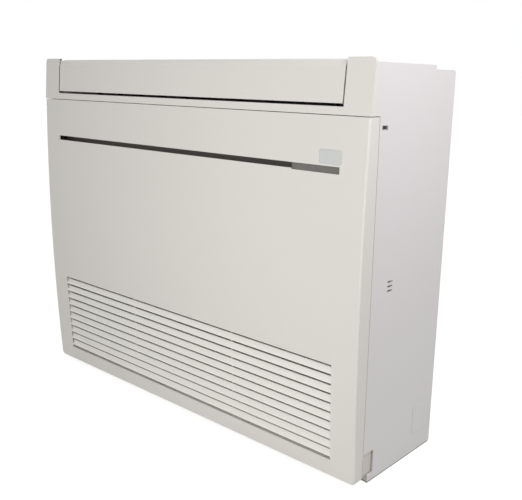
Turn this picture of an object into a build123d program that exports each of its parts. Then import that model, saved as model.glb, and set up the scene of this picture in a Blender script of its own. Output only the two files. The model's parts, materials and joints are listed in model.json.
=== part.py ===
from build123d import *
import math
import os

os.makedirs("parts", exist_ok=True)

# A slim floor console, the indoor unit of a split air conditioner.
# X runs along the width, the front faces -Y and the wall is at +Y, Z is up.
# The origin lies on the floor, in the middle of the footprint.

# Overall size of the cabinet
width = 750.0
height = 600.0
depth = 215.0

# Walls and clearances
casing_wall = 2.5
sheet = 1.2
seam_gap = 0.8
seat_gap = 0.3
running_gap = 0.05

half_width = width / 2
inner_x = half_width - casing_wall
front_y = -depth / 2
wall_y = depth / 2

# Heights of the cabinet's main lines
base_thickness = 2.5
case_top = height - 6.0
rear_top = height - 12.0
rear_step_y = wall_y - 55.5
seam_z = height - 72.5
panel_top = seam_z - 1.0
panel_bottom = 8.0
casing_front_y = front_y + 26.5
flange_y = casing_front_y - seam_gap

# The front is a very shallow barrel: its foremost line is at crown_z
crown_z = 285.0
bottom_fall_back = 8.0
crown_drop = crown_z - panel_bottom
crown_radius = (crown_drop**2 + bottom_fall_back**2) / (2 * bottom_fall_back)


def front_at(z):
    """Y of the front surface at a height."""
    return front_y + crown_radius - math.sqrt(crown_radius**2 - (z - crown_z) ** 2)


# The band over the panel carries the outlet and leans back to the top edge
band_top_y = front_y + 12.5
band_rim_depth = 5.3
band_wall = 3.0
band_corner = 7.0
band_edge = 2.0
feature_inset = 45.0
feature_half = half_width - feature_inset + 1.0
sill_z = height - 62.0
outlet_rear_y = front_y + 45.5
band_rear_y = outlet_rear_y + 4.0


def band_at(z):
    """Y of the band's front surface at a height."""
    share = (z - seam_z) / (height - seam_z)
    return front_at(panel_top) * (1 - share) + band_top_y * share


# Front panel features
panel_wall = 2.5
edge_round = 3.0
corner_round = 8.0
slot_z = panel_top - 69.9
slot_height = 8.0
lens_length = 83.0
lens_drop = 1.6
window_width = 38.0
window_height = 19.0
window_z = panel_top - 53.5
window_corner = 3.0
louvre_bottom = 34.8
louvre_count = 10
louvre_pitch = 14.5
louvre_gap = 5.0
louvre_depth = 4.5
louvre_sheet = 2.2
louvre_top = louvre_bottom + louvre_gap + louvre_count * louvre_pitch - 0.4

# Panel hinge and catches
hinge_y = front_y + 17.5
hinge_z = 18.0
hinge_pin_radius = 3.5
hinge_lug_radius = 6.4
hinge_lug_x = half_width - 15.0
hinge_lug_width = 5.0
hinge_arm_x = hinge_lug_x - 7.5
catch_z = panel_top - 13.9
catch_height = 2.6
catch_x = inner_x - 14.5
catch_width = 13.0
catch_mouth_y = casing_front_y + 3.0
catch_depth = 20.0

# Front panel: one moulding with rim, louvres, hinge arms and catch tongues
skin_back_y = front_at(panel_bottom) + panel_wall + 1.0
with BuildPart() as front_panel:
    with BuildSketch(Plane.YZ.offset(-half_width)):
        with BuildLine():
            crown = ThreePointArc(
                (front_at(panel_bottom), panel_bottom),
                (front_y, crown_z),
                (front_at(panel_top), panel_top),
            )
            Polyline(crown @ 1, (flange_y, panel_top), (flange_y, panel_bottom), crown @ 0)
        make_face()
    extrude(amount=width)
    fillet(front_panel.edges().filter_by(Axis.Y).group_by(Axis.Z)[0], corner_round)
    offset(amount=-panel_wall, openings=front_panel.faces().sort_by(Axis.Y)[-1])
    # All edges of the front surface but the straight one under the band
    fillet(front_panel.faces().sort_by(Axis.Y)[0].edges().sort_by(Axis.Z)[:-1], edge_round)
    # Intake slot with the display at its right end, receiver window, louvre window
    with BuildSketch(Plane.XZ.offset(-skin_back_y)):
        with Locations((0, slot_z)):
            SlotOverall(2 * feature_half, slot_height)
        with Locations((feature_half - lens_length / 2, slot_z - lens_drop / 2)):
            Rectangle(lens_length, slot_height + lens_drop)
        with Locations((feature_half - window_width / 2 + 3.0, window_z)):
            RectangleRounded(window_width, window_height, window_corner)
        with Locations((0, (louvre_bottom + louvre_top) / 2)):
            Rectangle(2 * feature_half, louvre_top - louvre_bottom)
    extrude(amount=-front_y + skin_back_y + 1.0, mode=Mode.SUBTRACT)
    # Louvre blades: each slopes out to a lip that is flush with the front
    for row in range(louvre_count):
        lip_z = louvre_bottom + louvre_gap + row * louvre_pitch
        crest_z = lip_z + louvre_pitch - louvre_gap
        with BuildSketch(Plane.YZ.offset(-feature_half - 0.2)):
            with BuildLine():
                Polyline(
                    (front_at(lip_z), lip_z),
                    (front_at(lip_z) + louvre_sheet, lip_z),
                    (front_at(crest_z) + louvre_depth + louvre_sheet, crest_z),
                    (front_at(crest_z) + louvre_depth, crest_z),
                    close=True,
                )
            make_face()
        extrude(amount=2 * feature_half + 0.4)
    # Cheeks at both ends of the louvres, and two ribs behind them
    rib_depth = 9.0
    for rib_x, rib_width, rib_start in (
        (-feature_half - panel_wall, panel_wall, 1.0),
        (feature_half, panel_wall, 1.0),
        (-half_width / 3, 2.0, louvre_depth + 1.0),
        (half_width / 3, 2.0, louvre_depth + 1.0),
    ):
        with BuildSketch(Plane.YZ.offset(rib_x)):
            with BuildLine():
                Polyline(
                    (front_at(louvre_bottom) + rib_start, louvre_bottom - panel_wall),
                    (front_at(louvre_top) + rib_start, louvre_top + panel_wall),
                    (front_at(louvre_top) + rib_depth, louvre_top + panel_wall),
                    (front_at(louvre_bottom) + rib_depth, louvre_bottom - panel_wall),
                    close=True,
                )
            make_face()
        extrude(amount=rib_width)
    # Notches in the bottom rim that clear the hinge lugs
    with Locations(
        *[(side * hinge_lug_x, flange_y, panel_bottom) for side in (-1, 1)]
    ):
        Box(
            hinge_lug_width + 3.0,
            2 * (flange_y - front_at(panel_bottom) - panel_wall - 1.0),
            4 * panel_wall,
            mode=Mode.SUBTRACT,
        )
    for side in (-1, 1):
        # Hinge arm and its pin
        arm_start = side * hinge_arm_x - hinge_lug_width / 2
        with BuildSketch(Plane.YZ.offset(arm_start)):
            with Locations((hinge_y, hinge_z)):
                Circle(hinge_lug_radius)
            with BuildLine():
                Polyline(
                    (front_at(hinge_z) + 1.0, hinge_z - hinge_lug_radius),
                    (hinge_y, hinge_z - hinge_lug_radius),
                    (hinge_y + hinge_lug_radius, hinge_z),
                    (front_at(hinge_z) + 1.0, hinge_z + 4 * hinge_lug_radius),
                    close=True,
                )
            make_face()
        extrude(amount=hinge_lug_width)
        pin_end = hinge_lug_x + hinge_lug_width / 2 + 1.5
        with BuildSketch(Plane.YZ.offset(side * hinge_arm_x)):
            with Locations((hinge_y, hinge_z)):
                Circle(hinge_pin_radius)
        extrude(amount=side * (pin_end - hinge_arm_x))
        # Catch tongue that plugs into the clip behind the casing's edge
        tongue_start = front_at(catch_z) + panel_wall - 0.5
        tongue_end = catch_mouth_y + catch_depth - 5.0
        with Locations((side * (catch_x + catch_width / 2), 0, catch_z)):
            with Locations((0, (tongue_start + tongue_end) / 2, 0)):
                Box(catch_width, tongue_end - tongue_start, catch_height)
front_panel.part.label = "front_panel"
export_step(front_panel.part, "parts/front_panel.step")


def front_layer(thickness, z_low, z_high):
    """A slice of the front surface, used to give flush inserts its shape."""
    with BuildPart() as layer:
        with BuildSketch(Plane.YZ.offset(-half_width)):
            with BuildLine():
                Polyline(
                    (front_at(z_low), z_low),
                    (front_at(z_high), z_high),
                    (front_at(z_high) + thickness, z_high),
                    (front_at(z_low) + thickness, z_low),
                    close=True,
                )
            make_face()
        extrude(amount=width)
    return layer.part


# Receiver window and display lens, both set into the front panel
insert_gap = 0.1
window_x = feature_half - window_width / 2 + 3.0
with BuildPart() as receiver_window:
    with BuildSketch(Plane.XZ.offset(-skin_back_y)):
        with Locations((window_x, window_z)):
            RectangleRounded(
                window_width - 2 * insert_gap, window_height - 2 * insert_gap, window_corner - insert_gap
            )
    extrude(amount=-front_y + skin_back_y + 1.0)
    add(front_layer(panel_wall, window_z - window_height, window_z + window_height), mode=Mode.INTERSECT)
receiver_window.part.label = "receiver_window"
export_step(receiver_window.part, "parts/receiver_window.step")

lens_recess = 1.0
lens_z = slot_z - lens_drop / 2
lens_height = slot_height + lens_drop
with BuildPart() as display_lens:
    with BuildSketch(Plane.XZ.offset(-skin_back_y)):
        with Locations((feature_half - lens_length / 2, lens_z)):
            Rectangle(lens_length - 2 * insert_gap, lens_height - 2 * insert_gap)
    extrude(amount=-front_at(lens_z) + skin_back_y - lens_recess)
    fillet(display_lens.edges().filter_by(Axis.Z).group_by(Axis.Y)[0], 1.0)
display_lens.part.label = "display_lens"
export_step(display_lens.part, "parts/display_lens.step")

# Base plate: pressed steel with turned-up edges and the pipe opening
base_inset = 4.0
base_front_y = front_y + 41.5
base_rear_y = wall_y - casing_wall - 0.5
base_rim = 12.0
pipe_opening_x = half_width - 54.0
pipe_opening_width = 82.0
pipe_opening_y = wall_y - 42.5
pipe_opening_depth = 66.0
with BuildPart() as base_plate:
    base_depth = base_rear_y - base_front_y
    with Locations((0, (base_front_y + base_rear_y) / 2, 0)):
        Box(2 * (half_width - base_inset), base_depth, base_rim, align=(Align.CENTER, Align.CENTER, Align.MIN))
    offset(amount=-base_thickness, openings=base_plate.faces().sort_by(Axis.Z)[-1])
    fillet(base_plate.edges().filter_by(Axis.Z).group_by(SortBy.LENGTH)[-1].sort_by(Axis.X)[:2], 1.0)
    with Locations((pipe_opening_x, pipe_opening_y, 0)):
        Box(pipe_opening_width, pipe_opening_depth, 4 * base_thickness, mode=Mode.SUBTRACT)
base_plate.part.label = "base_plate"
export_step(base_plate.part, "parts/base_plate.step")

# Rear plate: wall side of the cabinet with four wall fixing holes
rear_sheet = 3.0
rear_inner_y = wall_y - rear_sheet
wall_hole_radius = 4.0
wall_hole_x = half_width - 27.0
wall_hole_low = 200.0
wall_hole_high = height - 60.0
rear_opening_low = 20.0
rear_opening_height = 75.0
bead_width = 14.0
bead_height = 1.5
with BuildPart() as rear_plate:
    with BuildSketch(Plane.XZ.offset(-wall_y)):
        with Locations((0, (base_thickness + rear_top) / 2)):
            Rectangle(2 * inner_x, rear_top - base_thickness)
    extrude(amount=rear_sheet)
    # Stiffening beads, pressed inwards
    for bead_z in (150.0, 300.0, 450.0):
        with BuildSketch(Plane.XZ.offset(-rear_inner_y)):
            with Locations((0, bead_z)):
                SlotOverall(2 * inner_x - 180.0, bead_width)
        extrude(amount=bead_height, taper=20)
        with BuildSketch(Plane.XZ.offset(-wall_y)):
            with Locations((0, bead_z)):
                SlotOverall(2 * inner_x - 184.0, bead_width - 4.0)
        extrude(amount=rear_sheet - sheet, mode=Mode.SUBTRACT)
    with BuildSketch(Plane.XZ.offset(-wall_y)):
        for hole_x in (-wall_hole_x, wall_hole_x):
            for hole_z in (wall_hole_low, wall_hole_high):
                with Locations((hole_x, hole_z)):
                    Circle(wall_hole_radius)
        with Locations((pipe_opening_x, rear_opening_low + rear_opening_height / 2)):
            RectangleRounded(pipe_opening_width, rear_opening_height, 8.0)
    extrude(amount=rear_sheet, mode=Mode.SUBTRACT)
rear_plate.part.label = "rear_plate"
export_step(rear_plate.part, "parts/rear_plate.step")

# Side casings: skin with a front and a rear return, hinge pocket and catch hole
pocket_rear_y = front_y + 52.5
pocket_low = 13.5
pocket_high = 50.0
toe_y = front_y + 39.5
return_width = 18.0
catch_hole = (13.5, 6.0)
catch_hole_y = casing_front_y + 12.4
probe_slot = (13.0, 3.0)
probe_slot_pitch = 6.5
probe_y = front_y + 71.5
probe_z = 294.2
knockout_low = 32.0
knockout_high = 85.0
knockout_y = wall_y - 57.0
knockout_groove = 1.2
groove_depth = 0.8


def side_casing(side):
    """The casing of one side; side is -1 on the left and 1 on the right."""
    with BuildPart() as casing:
        with BuildSketch(Plane.YZ.offset(half_width)):
            with BuildLine():
                Polyline(
                    (toe_y, base_thickness),
                    (wall_y, base_thickness),
                    (wall_y, rear_top),
                    (rear_step_y, rear_top),
                    (rear_step_y, case_top),
                    (band_top_y + band_rim_depth, case_top),
                    (band_top_y + band_rim_depth, seam_z),
                    (casing_front_y, seam_z),
                    (casing_front_y, pocket_high),
                    (pocket_rear_y, pocket_high),
                    (pocket_rear_y, pocket_low),
                    (toe_y, pocket_low),
                    close=True,
                )
            make_face()
            fillet(vertices().group_by(Axis.X)[-1].sort_by(Axis.Y)[-1], 5.0)
        extrude(amount=-casing_wall)
        # Returns that stiffen the front and rear edges
        for return_y, low, high in (
            (casing_front_y, pocket_high + 16.0, catch_z - 12.0),
            (rear_inner_y - casing_wall, base_rim + 1.0, wall_hole_low - 30.0),
            (rear_inner_y - casing_wall, wall_hole_low + 30.0, rear_top - 10.0),
        ):
            with Locations((inner_x, return_y, low)):
                Box(return_width, casing_wall, high - low, align=(Align.MAX, Align.MIN, Align.MIN))
        # Catch hole, and the outline of the pipe knock-out
        with Locations((half_width, catch_hole_y, catch_z)):
            Box(4 * casing_wall, *catch_hole, mode=Mode.SUBTRACT)
        with BuildSketch(Plane.YZ.offset(half_width)):
            with Locations(((knockout_y + wall_y) / 2, (knockout_low + knockout_high) / 2)):
                Rectangle(wall_y - knockout_y, knockout_high - knockout_low)
            with Locations(((knockout_y + wall_y) / 2 + knockout_groove, (knockout_low + knockout_high) / 2)):
                Rectangle(
                    wall_y - knockout_y,
                    knockout_high - knockout_low - 2 * knockout_groove,
                    mode=Mode.SUBTRACT,
                )
        extrude(amount=-groove_depth, mode=Mode.SUBTRACT)
        if side > 0:
            # Three slots that let room air reach the thermistor
            with BuildSketch(Plane.YZ.offset(half_width)):
                with Locations((probe_y, probe_z)):
                    with GridLocations(probe_slot[0], probe_slot_pitch, 1, 3):
                        SlotOverall(*probe_slot)
            extrude(amount=-casing_wall, mode=Mode.SUBTRACT)
        else:
            mirror(about=Plane.YZ, mode=Mode.REPLACE)
    return casing.part


for side, name in ((-1, "side_casing_left"), (1, "side_casing_right")):
    casing = side_casing(side)
    casing.label = name
    export_step(casing, f"parts/{name}.step")

# Outlet flap: its pivot lies behind the top edge
flap_pivot_y = front_y + 27.5
flap_pivot_z = height - 15.0
flap_gap = 2.5
flap_half = feature_half - flap_gap
flap_bottom = sill_z + 4.0
flap_wall = 2.5
flap_round_z = height - 14.0
flap_crest = (front_y + 22.5, height - 2.3)
flap_tail = (outlet_rear_y - 4.0, height - 3.2)
flap_arm_x = flap_half - 3.0
flap_arm_width = 2.5
flap_boss_radius = 6.0
flap_pin_radius = 4.0
cheek_wall = 3.0
with BuildPart() as outlet_flap:
    with BuildSketch(Plane.YZ.offset(-flap_half)):
        with BuildLine():
            face_line = Line((band_at(flap_bottom), flap_bottom), (band_at(flap_round_z), flap_round_z))
            nose = TangentArc(face_line @ 1, flap_crest, tangent=face_line % 1)
            TangentArc(nose @ 1, flap_tail, tangent=nose % 1)
            offset(amount=flap_wall, side=Side.RIGHT)
        make_face()
    extrude(amount=2 * flap_half)
    # Turned-in lower edge
    with Locations((0, band_at(flap_bottom) + 1.0, flap_bottom)):
        Box(2 * flap_half, 6.0, flap_wall, align=(Align.CENTER, Align.MIN, Align.MIN))
    # Arms with hinge pins
    for side in (-1, 1):
        arm_start = side * flap_arm_x - flap_arm_width / 2
        with BuildSketch(Plane.YZ.offset(arm_start)):
            with Locations((flap_pivot_y, flap_pivot_z)):
                Circle(flap_boss_radius)
            with BuildLine():
                Polyline(
                    (band_at(flap_bottom) + 1.0, flap_bottom + 1.0),
                    (band_at(flap_bottom) + 7.0, flap_bottom + 1.0),
                    (flap_pivot_y + flap_boss_radius - 1.0, flap_pivot_z - 3.0),
                    (flap_pivot_y + 2.0, flap_crest[1] - 1.0),
                    (flap_crest[0], flap_crest[1] - 1.0),
                    (band_at(flap_round_z) + 1.0, flap_round_z),
                    close=True,
                )
            make_face()
        extrude(amount=flap_arm_width)
        with BuildSketch(Plane.YZ.offset(side * flap_arm_x)):
            with Locations((flap_pivot_y, flap_pivot_z)):
                Circle(flap_pin_radius)
        extrude(amount=side * (feature_half + cheek_wall + 7.0 - flap_arm_x))
outlet_flap.part.label = "outlet_flap"
export_step(outlet_flap.part, "parts/outlet_flap.step")

# Outlet frame: the band over the panel, with the cheeks that carry the flap
rim_y = band_top_y + band_rim_depth
floor_end_y = casing_front_y + 3.0
floor_end_z = sill_z - 2.8
cheek_rear_y = outlet_rear_y - 1.0
bush_radius = 5.9
with BuildPart() as outlet_frame:
    with BuildSketch(Plane.YZ.offset(-half_width)):
        with BuildLine():
            Polyline(
                (band_at(seam_z), seam_z),
                (band_top_y, height),
                (rim_y, height),
                (rim_y, case_top),
                (band_rear_y, case_top),
                (band_rear_y, case_top - band_wall),
                (rim_y - band_wall, case_top - band_wall),
                (band_at(seam_z) + band_wall, seam_z),
                close=True,
            )
        make_face()
    extrude(amount=width)
    # Top corners as seen from the front, then the front edge at both ends
    fillet(outlet_frame.edges().filter_by(Axis.Y).group_by(Axis.Z)[-1], band_corner)
    band_face = outlet_frame.faces().sort_by(Axis.Y)[0]
    fillet(band_face.edges().filter_by(lambda edge: abs(edge.center().X) > half_width - band_corner), band_edge)
    # The part behind the rim lies between the side casings
    for side in (-1, 1):
        with Locations((side * half_width, rim_y, seam_z)):
            Box(2 * casing_wall, depth, 2 * height, align=(Align.CENTER, Align.MIN, Align.CENTER), mode=Mode.SUBTRACT)
        # Ends of the band
        with BuildSketch(Plane.YZ.offset(side * half_width)):
            with BuildLine():
                Polyline(
                    (band_at(seam_z) + 1.0, seam_z),
                    (band_at(case_top) + 1.0, case_top),
                    (rim_y, case_top),
                    (rim_y, seam_z),
                    close=True,
                )
            make_face()
        extrude(amount=-side * casing_wall)
    # Opening for the flap, from the sill over the top
    with Locations((0, outlet_rear_y, sill_z)):
        Box(2 * feature_half, depth, height, align=(Align.CENTER, Align.MAX, Align.MIN), mode=Mode.SUBTRACT)
    for side in (-1, 1):
        # Cheek beside the flap
        with BuildSketch(Plane.YZ.offset(side * feature_half)):
            with BuildLine():
                Polyline(
                    (band_at(seam_z) + 1.0, seam_z + 3.0),
                    (band_top_y + 1.0, height - 1.0),
                    (rim_y, height - 1.0),
                    (rim_y, case_top - 1.0),
                    (cheek_rear_y, case_top - 1.0),
                    (cheek_rear_y, case_top - 30.0),
                    (band_at(seam_z) + 22.0, seam_z + 3.0),
                    close=True,
                )
            make_face()
            with Locations((flap_pivot_y, flap_pivot_z)):
                Circle(bush_radius, mode=Mode.SUBTRACT)
        extrude(amount=side * cheek_wall)
    # Ledge behind the sill
    with Locations((0, band_at(sill_z) + band_wall - 1.0, sill_z)):
        Box(
            2 * feature_half,
            floor_end_y - band_at(sill_z) - band_wall + 1.0,
            2.0,
            align=(Align.CENTER, Align.MIN, Align.MAX),
        )
outlet_frame.part.label = "outlet_frame"
export_step(outlet_frame.part, "parts/outlet_frame.step")

# Top cover: stepped down towards the wall
with BuildPart() as top_cover:
    with BuildSketch(Plane.YZ.offset(-inner_x)):
        with BuildLine():
            Polyline(
                (band_rear_y, case_top),
                (rear_step_y, case_top),
                (rear_step_y, rear_top),
                (rear_inner_y, rear_top),
                (rear_inner_y, rear_top - casing_wall),
                (rear_step_y - casing_wall, rear_top - casing_wall),
                (rear_step_y - casing_wall, case_top - casing_wall),
                (band_rear_y, case_top - casing_wall),
                close=True,
            )
        make_face()
    extrude(amount=2 * inner_x)
top_cover.part.label = "top_cover"
export_step(top_cover.part, "parts/top_cover.step")

# Inner frame behind the panel: two filter windows, hinge lugs and side cheeks
inner_frame_y = casing_front_y + 2.0
inner_frame_sheet = 3.0
inner_frame_half = half_width - 25.0
inner_frame_low = 36.0
inner_frame_high = seam_z - 28.0
duct_half = half_width - 53.0
filter_low = 60.0
filter_height = height - 230.0
filter_depth = 4.0
filter_travel = 12.0
lip_height = 8.0
filter_border = 10.0
frame_bar = 8.0
cheek_x = inner_x - 4.0
screw_x = half_width - 36.0
screw_zs = (110.0, 290.0, seam_z - 95.0)
screw_radius = 2.0
screw_head_radius = 4.0
screw_head_height = 2.4
screw_length = 6.0
with BuildPart() as inner_frame:
    with BuildSketch(Plane.XZ.offset(-inner_frame_y)):
        with Locations((0, (inner_frame_low + inner_frame_high) / 2)):
            Rectangle(2 * inner_frame_half, inner_frame_high - inner_frame_low)
        for side in (-1, 1):
            with Locations((side * (duct_half + frame_bar) / 2, filter_low + filter_height / 2)):
                RectangleRounded(
                    duct_half - frame_bar - 2 * filter_border,
                    filter_height - 2 * filter_border,
                    6.0,
                    mode=Mode.SUBTRACT,
                )
        for side in (-1, 1):
            for screw_z in screw_zs:
                with Locations((side * screw_x, screw_z)):
                    Circle(screw_radius + running_gap, mode=Mode.SUBTRACT)
    extrude(amount=-inner_frame_sheet)
    # Shelf, rails and hooks of the filters
    rail = (2.0, filter_depth + 2.0)
    lip_sheet = rail[1] - filter_depth - 2 * seat_gap
    with Locations((0, inner_frame_y, filter_low - seat_gap)):
        Box(2 * duct_half, rail[1], rail[0], align=(Align.CENTER, Align.MAX, Align.MAX))
    for rail_x in (-duct_half - rail[0] / 2, 0.0, duct_half + rail[0] / 2):
        with Locations((rail_x, inner_frame_y, filter_low)):
            Box(rail[0], rail[1], filter_height, align=(Align.CENTER, Align.MAX, Align.MIN))
    with Locations((0, inner_frame_y - rail[1], filter_low - seat_gap)):
        Box(2 * duct_half, lip_sheet, lip_height, align=(Align.CENTER, Align.MIN, Align.MIN))
    hook_top = filter_low + filter_height + filter_travel + seat_gap
    for hook_x in (-250.0, -80.0, 80.0, 250.0):
        with Locations((hook_x, inner_frame_y - rail[1], hook_top)):
            Box(14.0, lip_sheet, filter_travel + 6.0, align=(Align.CENTER, Align.MIN, Align.MAX))
            Box(14.0, rail[1], rail[0], align=(Align.CENTER, Align.MIN, Align.MIN))
    for side in (-1, 1):
        # Lug with the bore of the panel's hinge
        with BuildSketch(Plane.YZ.offset(side * hinge_lug_x - hinge_lug_width / 2)):
            with Locations((hinge_y, hinge_z)):
                Circle(hinge_lug_radius)
            with BuildLine():
                Polyline(
                    (hinge_y - hinge_lug_radius * 0.7, hinge_z + hinge_lug_radius * 0.7),
                    (hinge_y + hinge_lug_radius * 0.9, hinge_z + 1.0),
                    (inner_frame_y + inner_frame_sheet, inner_frame_low + 4.0),
                    (inner_frame_y + inner_frame_sheet, inner_frame_low + 30.0),
                    (inner_frame_y, inner_frame_low + 30.0),
                    close=True,
                )
            make_face()
            with Locations((hinge_y, hinge_z)):
                Circle(hinge_pin_radius + running_gap, mode=Mode.SUBTRACT)
        extrude(amount=hinge_lug_width)
        # Cheek that closes the pocket in the side casing, and its web
        with BuildSketch(Plane.YZ.offset(side * cheek_x)):
            with BuildLine():
                Polyline(
                    (inner_frame_y + inner_frame_sheet, pocket_low - 0.5),
                    (pocket_rear_y + 4.0, pocket_low - 0.5),
                    (pocket_rear_y + 4.0, pocket_high + 14.0),
                    (inner_frame_y, pocket_high + 14.0),
                    (inner_frame_y, inner_frame_low + 4.0),
                    (inner_frame_y + inner_frame_sheet, inner_frame_low + 4.0),
                    close=True,
                )
            make_face()
        extrude(amount=side * inner_frame_sheet)
        web_start = inner_frame_half - 10.0
        with Locations((side * web_start, inner_frame_y, inner_frame_low + 4.0)):
            Box(
                cheek_x + inner_frame_sheet - web_start,
                inner_frame_sheet,
                pocket_high - inner_frame_low + 3.5,
                align=(Align.MIN if side > 0 else Align.MAX, Align.MIN, Align.MIN),
            )
inner_frame.part.label = "inner_frame"
export_step(inner_frame.part, "parts/inner_frame.step")

# Catch clips for the panel's tongues
clip_wall = 2.5
clip_clear_up = 1.2
with BuildPart() as panel_catches:
    for side in (-1, 1):
        with Locations((side * inner_x, catch_mouth_y, catch_z)):
            Box(
                catch_width + 4.0,
                catch_depth,
                catch_height + 2 * clip_wall + 2 * clip_clear_up,
                align=(Align.MAX if side > 0 else Align.MIN, Align.MIN, Align.CENTER),
            )
        with Locations((side * (catch_x + catch_width / 2), catch_mouth_y, catch_z)):
            Box(
                catch_width + 2.0 * casing_wall + 2.0,
                catch_depth - clip_wall,
                catch_height + 2 * seat_gap + clip_clear_up,
                align=(Align.CENTER, Align.MIN, Align.CENTER),
                mode=Mode.SUBTRACT,
            )
panel_catches.part.label = "panel_catches"
export_step(panel_catches.part, "parts/panel_catches.step")

# Cross-flow fan and the duct around it
fan_y = wall_y - 85.5
fan_z = height - 175.0
fan_radius = 48.0
fan_half = duct_half - 8.0
fan_blades = 26
blade_inner = 36.0
blade_sheet = 1.2
blade_bow = 1.8
blade_lead = 14.0
disc_sheet = 2.0
shaft_radius = 4.0
hub_radius = 11.0
hub_length = 14.0
tip_gap = 5.0
tip_angle = math.radians(150.0)
duct_sheet = 2.5

tip_y = fan_y + (fan_radius + tip_gap) * math.cos(tip_angle)
tip_z = fan_z + (fan_radius + tip_gap) * math.sin(tip_angle)
floor_run = math.hypot(floor_end_y - tip_y, floor_end_z - tip_z)
flow = ((floor_end_y - tip_y) / floor_run, (floor_end_z - tip_z) / floor_run)

# Where the heat exchanger and the drain pan lie; pipes leave the coil at its lower end
coil_top = (front_y + 57.5, height - 190.0)
coil_bottom = (wall_y - 57.5, 85.0)
coil_depth = 30.0
coil_half = duct_half - 26.0
coil_margin = 3.0
fin_pitch = 10.0
fin_sheet = 1.0
web_sheet = 1.5
pan_low = 62.0
pan_high = 104.0
pan_wall = 2.5
coil_run = math.hypot(coil_top[0] - coil_bottom[0], coil_top[1] - coil_bottom[1])
coil_dir = ((coil_top[0] - coil_bottom[0]) / coil_run, (coil_top[1] - coil_bottom[1]) / coil_run)
coil_mid = ((coil_top[0] + coil_bottom[0]) / 2, (coil_top[1] + coil_bottom[1]) / 2)
liquid_pipe_inset = 68.0
gas_pipe_inset = 100.0

# Side frames: carry the fan, the coil, the drain pan and the duct
side_frame_sheet = 3.0
side_frame_front_y = inner_frame_y + inner_frame_sheet
side_frame_rear_y = rear_inner_y - bead_height - 1.0
pipe_window_y = wall_y - 60.0
pipe_window_z = coil_mid[1] + coil_dir[1] * ((liquid_pipe_inset + gas_pipe_inset - coil_run) / 2)
pipe_window = (62.0, 70.0)
bearing_seat_radius = 16.0
motor_seat_radius = 30.0
for side, name in ((-1, "side_frame_left"), (1, "side_frame_right")):
    with BuildPart() as side_frame:
        with BuildSketch(Plane.YZ.offset(side * duct_half)):
            with BuildLine():
                Polyline(
                    (side_frame_front_y, base_rim + 1.0),
                    (side_frame_rear_y, base_rim + 1.0),
                    (side_frame_rear_y, rear_top - casing_wall - 2.0),
                    (outlet_rear_y + 8.0, case_top - casing_wall - 12.0),
                    (outlet_rear_y - 2.0, sill_z + 28.0),
                    (floor_end_y, floor_end_z),
                    (side_frame_front_y, seam_z),
                    close=True,
                )
            make_face()
            fillet(vertices().sort_by(Axis.Z)[-1], 6.0)
            with Locations((fan_y, fan_z)):
                Circle(bearing_seat_radius if side < 0 else motor_seat_radius, mode=Mode.SUBTRACT)
            if side > 0:
                with Locations((pipe_window_y, pipe_window_z)):
                    RectangleRounded(*pipe_window, 8.0, mode=Mode.SUBTRACT)
        extrude(amount=side * side_frame_sheet)
        # Foot that stands on the base plate
        with Locations((side * duct_half, (side_frame_front_y + side_frame_rear_y) / 2, base_thickness)):
            Box(
                18.0,
                side_frame_rear_y - side_frame_front_y - 30.0,
                side_frame_sheet,
                align=(Align.MIN if side > 0 else Align.MAX, Align.CENTER, Align.MIN),
            )
            Box(
                side_frame_sheet,
                side_frame_rear_y - side_frame_front_y - 30.0,
                base_rim,
                align=(Align.MIN if side > 0 else Align.MAX, Align.CENTER, Align.MIN),
            )
        if side > 0:
            with Locations((pipe_opening_x, pipe_opening_y, 0)):
                Box(pipe_opening_width, pipe_opening_depth, 2 * rear_opening_low, mode=Mode.SUBTRACT)
    side_frame.part.label = name
    export_step(side_frame.part, f"parts/{name}.step")

# Rear guide: skirt, scroll around the fan and ceiling of the duct
skirt_y = rear_inner_y - 9.0
scroll_lip = (fan_y + 38.0, fan_z - 55.0)
scroll_back = (fan_y + 72.0, fan_z + 7.0)
scroll_exit = (fan_y + 48.0, fan_z + 73.0)
duct_end = (outlet_rear_y + 6.0, case_top - 10.0)
with BuildPart() as fan_scroll:
    with BuildSketch(Plane.YZ.offset(-duct_half)):
        with BuildLine():
            Polyline((skirt_y, 104.0), (skirt_y, scroll_lip[1] - 40.0), scroll_lip)
            scroll = ThreePointArc(scroll_lip, scroll_back, scroll_exit)
            TangentArc(scroll @ 1, duct_end, tangent=scroll % 1)
            offset(amount=duct_sheet, side=Side.RIGHT)
        make_face()
    extrude(amount=2 * duct_half)
fan_scroll.part.label = "fan_scroll"
export_step(fan_scroll.part, "parts/fan_scroll.step")

# Stabiliser: tongue beside the fan and floor of the duct
vane_count = 5
vane_pitch = 2 * (duct_half - 12.0) / (2 * vane_count)
vane_foot = 62.0
vane_pin_radius = 2.5
vane_xs = [vane_pitch * (number + 0.5) for number in range(vane_count)]
vane_foot_y = tip_y + flow[0] * vane_foot
vane_foot_z = tip_z + flow[1] * vane_foot
duct_normal = (flow[1], -flow[0])


def on_floor(x, lift=0.0):
    """Plane on the duct floor at a vane's foot: local Z is the floor's normal, local X the flow."""
    return Plane(
        origin=(x, vane_foot_y + duct_normal[0] * lift, vane_foot_z + duct_normal[1] * lift),
        x_dir=(0, flow[0], flow[1]),
        z_dir=(0, duct_normal[0], duct_normal[1]),
    )


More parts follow.
